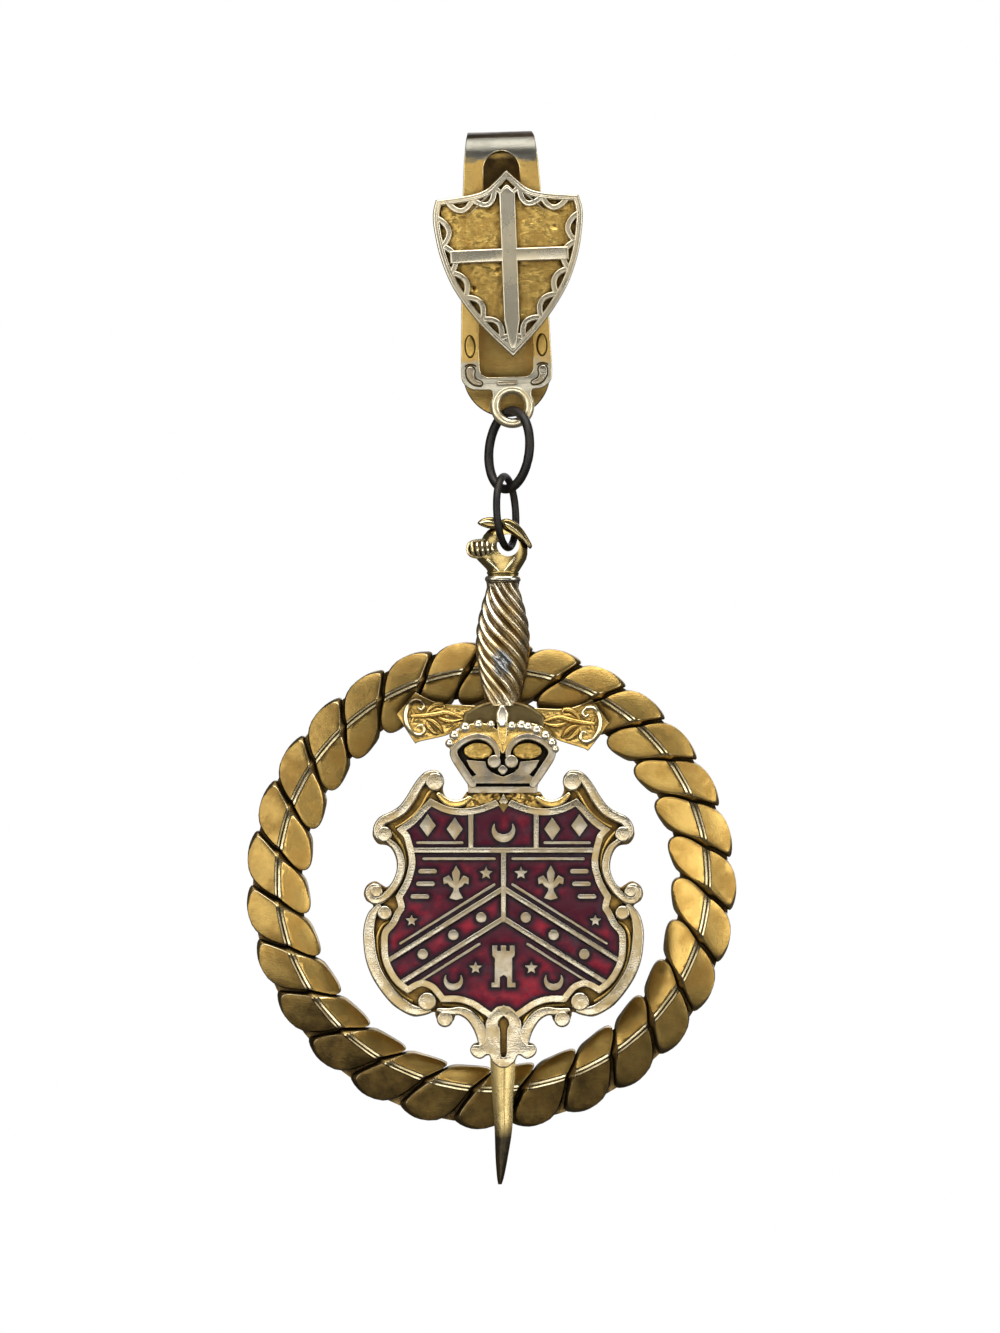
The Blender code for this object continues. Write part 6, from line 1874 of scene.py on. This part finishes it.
class CrownedShield:
    """The casting in front of the blade: frame, raised lines and figures, and the crown."""

    FRAME = (
        (503.5, 790.5), (530.0, 790.5), (539.0, 792.5), (544.0, 798.5), (552.0, 800.5), (560.0, 797.0),
        (563.5, 790.0), (562.5, 781.0), (566.0, 773.0), (573.5, 769.5), (582.0, 771.5), (589.0, 779.0),
        (595.0, 790.0), (601.0, 801.0), (608.0, 810.5), (617.0, 816.0), (627.0, 819.5), (633.5, 827.0),
        (634.5, 836.0), (629.0, 844.0), (620.5, 845.5), (615.0, 850.0), (611.0, 860.0), (611.0, 871.0),
        (615.0, 881.0), (620.0, 886.5), (625.0, 884.0), (632.0, 880.5), (640.5, 885.0), (643.5, 893.5),
        (640.5, 901.0), (634.0, 905.5), (638.5, 915.0), (641.2, 920.0), (642.9, 936.8), (640.6, 958.0),
        (633.4, 978.0), (618.9, 1000.4), (606.6, 1010.5), (593.2, 1016.6), (582.0, 1015.0), (573.0, 1012.0),
        (572.0, 1015.0), (568.7, 1022.8), (560.8, 1026.7), (553.0, 1020.5), (550.8, 1015.5),
        (544.0, 1015.0), (536.3, 1022.8), (529.6, 1034.0), (528.5, 1041.0), (534.0, 1043.4),
        (537.4, 1049.6), (534.0, 1056.0), (526.3, 1059.0), (518.4, 1055.0), (514.0, 1061.8),
        (506.2, 1067.4), (503.5, 1067.5),
    )
    # middle line (x, z, width) in table steps of each rim stroke, right half
    RIMS = (
        ((537.0, 797.5, 5.0), (545.0, 802.5, 7.5), (554.0, 803.5, 8.0), (561.5, 800.5, 7.5),
         (568.5, 794.0, 5.0)),
        ((566.5, 785.0, 6.0), (566.8, 778.5, 7.5), (571.5, 774.5, 9.0), (578.5, 775.5, 9.5),
         (584.0, 780.0, 9.6), (590.0, 788.5, 9.8), (596.8, 800.0, 10.2), (604.8, 810.0, 10.2),
         (615.0, 816.4, 10.0), (624.5, 821.0, 10.0), (629.0, 828.6, 9.6), (628.2, 836.0, 8.0),
         (623.0, 840.0, 6.0)),
        ((618.0, 841.0, 6.0), (610.5, 848.0, 7.6), (606.2, 858.0, 8.4), (605.8, 869.0, 8.6),
         (609.2, 880.0, 8.4), (616.0, 890.4, 8.4), (624.0, 898.0, 8.4), (632.0, 900.4, 8.0),
         (637.4, 896.0, 8.0), (637.8, 889.5, 7.4), (633.0, 885.5, 6.0), (628.0, 886.5, 4.5)),
        ((628.0, 905.5, 6.0), (634.4, 914.5, 9.5), (637.4, 926.0, 11.0), (637.6, 938.0, 12.0),
         (635.2, 957.0, 12.5), (628.2, 975.5, 12.5), (614.6, 994.8, 12.5), (601.2, 1006.0, 12.0),
         (590.0, 1010.5, 10.5), (579.0, 1009.5, 8.0)),
        ((568.5, 1009.5, 5.0), (556.0, 1011.0, 8.0), (546.5, 1010.4, 9.4), (537.0, 1015.0, 11.0),
         (529.5, 1024.0, 12.0), (524.5, 1035.0, 12.5), (522.0, 1046.0, 12.5)),
    )
    # gilt wires in the channels, right half
    WIRES = (
        ((573.5, 789.0), (578.6, 793.7), (584.7, 804.9), (591.8, 814.0), (602.0, 822.2), (611.2, 827.3)),
        ((616.0, 831.5), (609.2, 838.6), (603.2, 850.0), (601.2, 862.0), (602.6, 872.2), (607.4, 883.5),
         (615.0, 893.0), (621.0, 899.5)),
        ((617.5, 921.0), (624.5, 925.7), (629.5, 938.0), (628.6, 953.6), (623.5, 971.4), (614.5, 985.0),
         (603.5, 995.0), (594.0, 1001.0)),
        ((523.5, 1023.0), (529.5, 1013.5), (540.5, 1006.6), (553.0, 1004.9), (565.0, 1003.5)),
    )
    # scroll eyes: x, z, radius in table steps, right half
    DISCS = (
        (572.0, 781.6, 9.4), (622.4, 834.0, 8.0), (630.4, 891.0, 6.4), (622.2, 912.4, 7.4),
        (579.8, 1001.0, 9.4), (562.0, 1018.4, 8.2),
    )
    FOOT = (
        (503.5, 1004.0), (512.0, 1010.0), (521.0, 1020.0), (521.5, 1036.0), (526.0, 1043.5),
        (534.0, 1044.5), (536.8, 1050.0), (533.0, 1055.5), (526.0, 1058.0), (518.8, 1054.0),
        (514.5, 1061.0), (508.0, 1066.4), (503.5, 1067.0),
    )
    BRIDGE = (
        (467.0, 791.5), (540.0, 791.5), (546.0, 800.0), (540.0, 812.5), (525.0, 809.5), (505.0, 801.0),
        (502.0, 801.0), (482.0, 809.5), (467.0, 812.5), (461.0, 800.0),
    )
    CUSP = ((499.0, 801.5), (501.5, 797.5), (503.5, 793.0), (505.5, 797.5), (508.0, 801.5), (503.5, 805.5))
    KEYHOLE = (
        (503.5, 1016.0), (507.2, 1019.5), (508.8, 1024.0), (506.6, 1030.0), (506.2, 1053.0),
        (503.5, 1056.5),
    )
    CROWN = (
        (502.8, 722.0), (520.0, 722.5), (535.0, 728.0), (547.0, 736.0), (554.5, 745.0), (557.0, 753.5),
        (553.5, 762.5), (546.0, 771.5), (540.0, 780.0), (538.0, 793.0), (502.8, 793.0),
    )
    CROWN_BAND = (
        (453.0, 746.5, 8.0), (457.5, 739.0, 10.0), (466.0, 731.6, 11.5), (476.0, 728.6, 11.5),
        (486.5, 729.6, 11.5), (495.0, 734.5, 10.5), (500.0, 743.0, 8.0), (502.6, 752.0, 3.5),
    )
    ARCH = (
        (472.5, 784.0, 8.0), (467.5, 776.5, 8.5), (460.5, 766.0, 8.5), (454.9, 757.0, 8.0),
        (454.6, 749.8, 7.0), (462.5, 741.6, 6.8), (475.5, 736.4, 6.8), (486.5, 738.4, 6.8),
        (494.3, 745.0, 6.4), (497.5, 752.0, 5.6), (497.2, 759.0, 5.0),
    )
    CROWN_PLATE = (
        (502.8, 776.5), (498.0, 775.0), (491.5, 772.0), (487.0, 767.5), (485.4, 761.6), (466.4, 759.8),
        (470.0, 767.5), (476.5, 774.5), (471.5, 777.0), (468.6, 782.0), (468.2, 792.8), (502.8, 792.8),
    )
    SLOT = ((475.2, 783.2), (530.4, 783.2), (530.4, 786.6), (475.2, 786.6))
    EYE_DISC = (494.2, 761.4, 6.7)        # x, z, radius
    LOZENGE = (502.8, 769.6, 5.0)         # x, z, half size
    OVAL = (478.4, 751.0, 14.4, 0.58)     # x, z, half width, squash
    FINIAL = (
        (499.6, 704.9), (504.6, 704.9), (509.3, 713.8), (507.6, 721.5), (505.6, 727.5), (498.6, 727.5),
        (496.4, 720.0), (495.9, 712.8),
    )
    NECK = ((502.4, 724.0, 11.0), (502.5, 733.0, 10.0), (502.7, 743.0, 5.0))
    # the enamel is darker near the cells' edges: places on them that the distance is measured from
    SHORE_STEP = 0.12
    SHORE_POINTS = 60000           # room for them
    SHORE_WIDE = 1.1               # from an edge to the full depth
    HELD = 0.3           # how deep the raised pieces of the frame go into the base
    BEAD_SCALE = 0.94
    RIVETS = ((0.32, -74.7), (0.32, -86.0))     # x and z
    BEADS = (
        (449.8, 743.2, 4.8), (454.6, 735.2, 5.6), (465.3, 727.4, 6.0), (478.4, 724.4, 5.4),
        (490.8, 724.4, 4.6), (511.7, 726.0, 5.4), (521.6, 725.6, 6.0), (528.0, 727.0, 5.6),
        (536.6, 730.0, 5.8), (545.6, 735.6, 5.8), (551.8, 742.6, 5.4), (555.0, 749.0, 4.2),
    )

    def __init__(self, finishes: Finishes, sizes: ShieldSizes = ShieldSizes()) -> None:
        """Keep the finishes and the sizes and lay out the enamel."""
        self.finishes = finishes
        self.sizes = sizes
        self.layout = Layout(sizes)

    @staticmethod
    def swap(thing: Thing, axis: float) -> Thing:
        """A copy on the other side of an upright line at a table x."""
        x = at(axis, 0.0)[0]
        return copied(thing, Matrix.Translation((2 * x, 0.0, 0.0)) @ Matrix.Scale(-1.0, 4, (1, 0, 0)))

    def stroke(self, name: str, table: Sequence[Triple], front: float, back: float, bevel: float,
               rounds: int = 3) -> Thing:
        """A raised stroke whose width follows the table."""
        path = smooth(places([(x, z) for x, z, _ in table]), closed=False, steps=5)

        def width(share: float) -> float:
            """Width of the stroke at a share of its line."""
            place = share * (len(table) - 1)
            row = min(int(place), len(table) - 2)
            return GRID * (table[row][2] + (table[row + 1][2] - table[row][2]) * (place - row))

        return plate(name, [ribbon(path, width, 6)], front, back, bevel, rounds)

    def frame(self) -> list[Thing]:
        """The gilt base with its rims, wires and scroll eyes."""
        sizes, finishes = self.sizes, self.finishes
        front, back = sizes.base_front, sizes.base_front + self.HELD
        outline = offset(mirrored(smooth(places(self.FRAME), closed=False, steps=3), self.layout.axis), -0.05)
        base = plate("base", [outline], front, SHIELD_BACK, 0.10)
        # the base's front shows in the channels, darkened there as patina and painted shade
        coat(base, finishes.channel, finishes.channel, finishes.wall)
        bridge = plate("bridge", [places(self.BRIDGE)], front - 0.08, front + 0.2, 0.03, 1)
        gridded(bridge, 0.13, (-4.0, -71.6), range(64), range(22))
        coat(roughened(bridge, front, 1.8, 0.22), finishes.rim_gold)
        right = []
        for number, table in enumerate(self.RIMS):
            rim = self.stroke("rim", table, SHIELD_FRONT - sizes.step * (number % 3), back, 0.24, 4)
            right.append(coat(rim, *(finishes.frame_coat if number else finishes.gilt_coat)))
        for path in self.WIRES:
            lifted = line(smooth(places(path), closed=False, steps=4), front - 0.02)
            right.append(coat(wire("gilt_wire", lifted, 0.19, sides=8), finishes.rim_gold))
        for x, z, radius in self.DISCS:
            disc = plate("eye", [round_loop(at(x, z), radius * GRID, 28)], SHIELD_FRONT - 0.10, back, 0.22, 4)
            right.append(coat(disc, *finishes.frame_coat))
        half = joined("half_frame", right)
        cusp = plate("cusp", [smooth(places(self.CUSP), steps=3)], SHIELD_FRONT + 0.02, back, 0.08)
        return [base, bridge, coat(cusp, *finishes.frame_coat), half, self.swap(half, sizes.axis)]

    def lines(self) -> list[Thing]:
        """The inner line round the enamel, the heraldic lines and the figures."""
        sizes, finishes, layout = self.sizes, self.finishes, self.layout
        back = sizes.base_front + 0.2
        ring = [offset(layout.edge, sizes.inner_line), layout.edge]
        things = [coat(plate("inner_line", ring, SHIELD_FRONT, back, 0.09), *finishes.frame_coat)]
        for number, path in enumerate(layout.strokes()):
            # each a little lower than the one before, because they cross
            front = SHIELD_FRONT + 0.02 + 0.004 * number
            raised = plate("line", [ribbon(path, sizes.line, 2)], front, back, 0.07)
            things.append(coat(raised, *finishes.silver_coat))
        for path in layout.hairlines():
            thin = plate("hairline", [ribbon(path, sizes.hairline, 3)], SHIELD_FRONT + 0.04, back, 0.05)
            things.append(coat(thin, *finishes.figure_coat))
        for loop in layout.figures():
            figure = plate("figure", [loop], SHIELD_FRONT + 0.02, back, 0.05)
            things.append(coat(figure, *finishes.figure_coat))
        return things

    def foot(self) -> Thing:
        """The foot with its keyhole."""
        half = smooth(places(self.FOOT), closed=False, steps=4)
        hole = smooth(places(self.KEYHOLE), closed=False, steps=3)
        axis = self.layout.axis
        foot = plate("foot", [mirrored(half, axis), mirrored(hole, axis)], SHIELD_FRONT - 0.06,
                     self.sizes.base_front + self.HELD, 0.16, 3)
        return coat(foot, *self.finishes.frame_coat)

    def crown(self) -> list[Thing]:
        """The crown: floor, band, arches, plate, discs, ovals, beads and finial."""
        finishes = self.finishes
        axis = at(self.sizes.crown_axis, 0.0)[0]
        back = SHIELD_FRONT + 0.5
        outline = mirrored(smooth(places(self.CROWN), closed=False, steps=4, corners=(9,)), axis)
        floor = plate("crown_floor", [offset(outline, -0.12)], SHIELD_FRONT + 0.42, SHIELD_BACK - 0.05, 0.06)
        coat(floor, finishes.recess, finishes.recess, finishes.wall)
        band = self.stroke("crown_band", self.CROWN_BAND, SHIELD_FRONT - 0.10, back, 0.14)
        arch = self.stroke("arch", self.ARCH, SHIELD_FRONT - 0.20, back, 0.14)
        x, z, radius = self.EYE_DISC
        disc = plate("disc", [round_loop(at(x, z), radius * GRID, 28)], SHIELD_FRONT - 0.28, back, 0.14, 3)
        half = joined("half_crown", [coat(band, *finishes.gilt_coat), coat(arch, *finishes.figure_coat),
                                     coat(disc, *finishes.figure_coat), self.oval()])
        things = [floor, half, self.swap(half, self.sizes.crown_axis)]
        x, z, reach = self.LOZENGE
        lozenge = smooth(places([(x, z - reach), (x + reach, z), (x, z + reach), (x - reach, z)]), steps=4)
        lozenge = plate("lozenge", [lozenge], SHIELD_FRONT - 0.24, back, 0.10)
        face = [mirrored(places(self.CROWN_PLATE), axis), places(self.SLOT)]
        face = plate("crown_plate", face, SHIELD_FRONT - 0.16, back, 0.06)
        things += [coat(lozenge, *finishes.figure_coat), coat(face, *finishes.figure_coat)]
        finial = plate("finial", [places(self.FINIAL)], SHIELD_FRONT - 0.42, SHIELD_FRONT + 0.9, 0.30, 2)
        neck = self.stroke("finial_neck", self.NECK, SHIELD_FRONT - 0.16, back, 0.16)
        things += [coat(finial, finishes.crest, finishes.crest, finishes.silver_rim),
                   coat(neck, *finishes.gilt_coat)]
        for x, z, radius in self.BEADS:
            (centre_x, centre_z), reach = at(x, z), radius * GRID * self.BEAD_SCALE
            bead = ball("bead", (centre_x, SHIELD_FRONT + 0.05, centre_z), (reach, 0.44, reach), 20, 12)
            things.append(coat(bead, finishes.crest))
        return things

    def oval(self) -> Thing:
        """The pebbled oval in the left recess."""
        x, z, half, squash = self.OVAL
        centre, front = at(x, z), SHIELD_FRONT + 0.12
        oval = plate("oval", [round_loop(centre, half * GRID, 40, squash)], front, SHIELD_FRONT + 0.6, 0.10)
        gridded(oval, 0.14, centre, range(-10, 11), range(-6, 7))
        return coat(roughened(oval, front + 0.2, 1.9, 0.10), self.finishes.pebbled)

    def rivets(self) -> list[Thing]:
        """The two rivets that hold the shield on the blade."""
        start, end = SHIELD_BACK - 0.1, SWORD_BACK + 0.25
        return [thing for place in self.RIVETS
                for thing in rivet(self.finishes, place, start, end, SWORD_BACK + 0.3, 0.40)]

    def enamel(self) -> None:
        """Pour the enamel: a glossy body for each cell, dark towards its edges."""
        sizes, layout = self.sizes, self.layout
        cells = layout.cells()
        tree = kdtree.KDTree(self.SHORE_POINTS)
        for loop in [*cells.values(), *layout.figures(), *layout.hairlines()]:
            for here, after in sides(loop):
                steps = max(1, int(math.dist(here, after) / self.SHORE_STEP))
                for step in range(steps):
                    place = Vector(here).lerp(Vector(after), step / steps)
                    tree.insert((place.x, 0.0, place.y), 0)
        tree.balance()

        def middle(place: Vector) -> float:
            """How far a place lies from the nearest wall or figure, held at one."""
            return min(1.0, tree.find((place.x, 0.0, place.z))[2] / self.SHORE_WIDE)

        def patches(place: Vector) -> float:
            """Grey patches at the lower right."""
            return max(held((-85.5 - place.z) / 6.0) * held((place.x + 1.0) / 6.0), 0.25)

        grid = 0.30
        for name, loop in cells.items():
            cell = plate("glass_" + name, [offset(loop, -0.01)], sizes.enamel_front, sizes.enamel_back,
                         0.05, 1)
            columns, rows = (range(int(min(ends) / grid), int(max(ends) / grid) + 1) for ends in zip(*loop))
            gridded(cell, grid, (0.0, 0.0), columns, rows)

            def poured(place: Vector) -> Vector:
                """Sink the middle a little and ripple the surface."""
                if place.y > sizes.enamel_front + 0.02:
                    return place
                sunk = 0.05 * middle(place) + 0.025 * noise.fractal(place * 0.7, 0.8, 2.0, 3)
                return place + Vector((0.0, sunk, 0.0))

            reshaped(cell, poured)
            with_vertex_values(with_vertex_values(cell, middle, "middle"), patches)
            settle(coat(cell, self.finishes.enamel), Body.MEDAL, "enamel_" + name, angle=40.0)

    def build(self) -> None:
        """Put the casting together and pour the enamel."""
        things = self.frame() + self.lines() + [self.foot()] + self.crown() + self.rivets()
        shield = backed(joined("crowned_shield_relief", things), self.finishes.wall, self.finishes.dull)

        def grey(place: Vector) -> float:
            """Painted shade: a grey cast along the frame's lower right edge."""
            return 0.0 if place.x < 11.5 else 0.6 * held((-83.0 - place.z) / 8.0)

        settle(with_vertex_values(shield, grey), Body.MEDAL, "crowned_shield")
        self.enamel()


# The studio


class Studio:
    """Camera, light and backdrop."""

    TARGET = Vector((-0.00005, 0.0, -0.0556))
    FRAME_HEIGHT = 0.140
    LENS = 180.0
    SENSOR = 36.0

    def camera(self) -> None:
        """Look straight at the front through a long lens."""
        data = bpy.data.cameras.new("camera")
        data.sensor_width = self.SENSOR
        data.lens = self.LENS
        data.clip_start = 0.01
        distance = self.FRAME_HEIGHT * self.LENS / self.SENSOR
        camera = link(bpy.data.objects.new("camera", data))
        camera.location = self.TARGET + Vector((0.0, -distance - 0.003, 0.0))
        camera.rotation_euler = (math.pi / 2, 0.0, 0.0)
        bpy.context.scene.camera = camera

    def lamp(self, name: str, place: Sequence[float], size: tuple[float, float], power: float) -> None:
        """Add a soft box that looks at the badge."""
        data = bpy.data.lights.new(name, "AREA")
        data.shape = "RECTANGLE"
        data.size, data.size_y = size
        data.energy = power
        lamp = link(bpy.data.objects.new(name, data))
        lamp.location = self.TARGET + Vector(place)
        lamp.rotation_euler = (-Vector(place)).to_track_quat("-Z", "Y").to_euler()

    def lights(self) -> None:
        """Soft light from above, from both sides and from behind the camera, and a little on the back."""
        self.lamp("top_box", (0.0, -0.25, 0.55), (0.7, 0.45), 4.4)
        self.lamp("left_box", (-0.50, -0.55, 0.10), (0.40, 0.7), 1.9)
        self.lamp("right_box", (0.58, -0.45, 0.05), (0.25, 0.6), 1.5)
        self.lamp("front_box", (0.0, -1.2, -0.25), (0.9, 0.35), 3.0)
        self.lamp("back_box", (0.25, 0.90, 0.40), (0.9, 0.9), 4.0)
        world = bpy.data.worlds.new("studio")
        bpy.context.scene.world = world
        world.use_nodes = True
        background = world.node_tree.nodes["Background"]
        background.inputs["Color"].default_value = (0.13, 0.13, 0.13, 1.0)
        background.inputs["Strength"].default_value = 1.0

    def surroundings(self) -> None:
        """A white dome that only the camera sees, and a pale floor below the frame."""
        white = NodeBench("white_backdrop")
        white.shader.inputs["Base Color"].default_value = (0.0, 0.0, 0.0, 1.0)
        white.shader.inputs["Specular IOR Level"].default_value = 0.0
        white.shader.inputs["Emission Color"].default_value = (1.0, 1.0, 1.0, 1.0)
        white.shader.inputs["Emission Strength"].default_value = 1.0
        dome = ball("dome", self.TARGET, (3.0, 3.0, 3.0), 48, 24)
        dome.data.materials.append(white.material)
        dome.visible_diffuse = dome.visible_glossy = dome.visible_shadow = False
        dome.visible_transmission = dome.visible_volume_scatter = False
        floor = ball("floor", (0.0, 0.0, -0.2), (0.35, 0.35, 0.002), 48, 8)
        floor.data.materials.append(white.material)
        floor.visible_glossy = False

    def build(self) -> None:
        """Set up everything round the badge."""
        self.camera()
        self.lights()
        self.surroundings()
        settings = bpy.context.scene.view_settings
        settings.view_transform = "Standard"
        settings.look = "None"


def main() -> None:
    """Build every piece in order, then the studio."""
    logging.basicConfig(level=logging.INFO, format="%(message)s")
    finishes = Finishes()
    ClipSpring(finishes).build()
    ClipCrest(finishes).build()
    Links(finishes).build()
    RopeRing(finishes).build()
    Sword(finishes).build()
    CrownedShield(finishes).build()
    Studio().build()


if __name__ == "__main__":
    main()
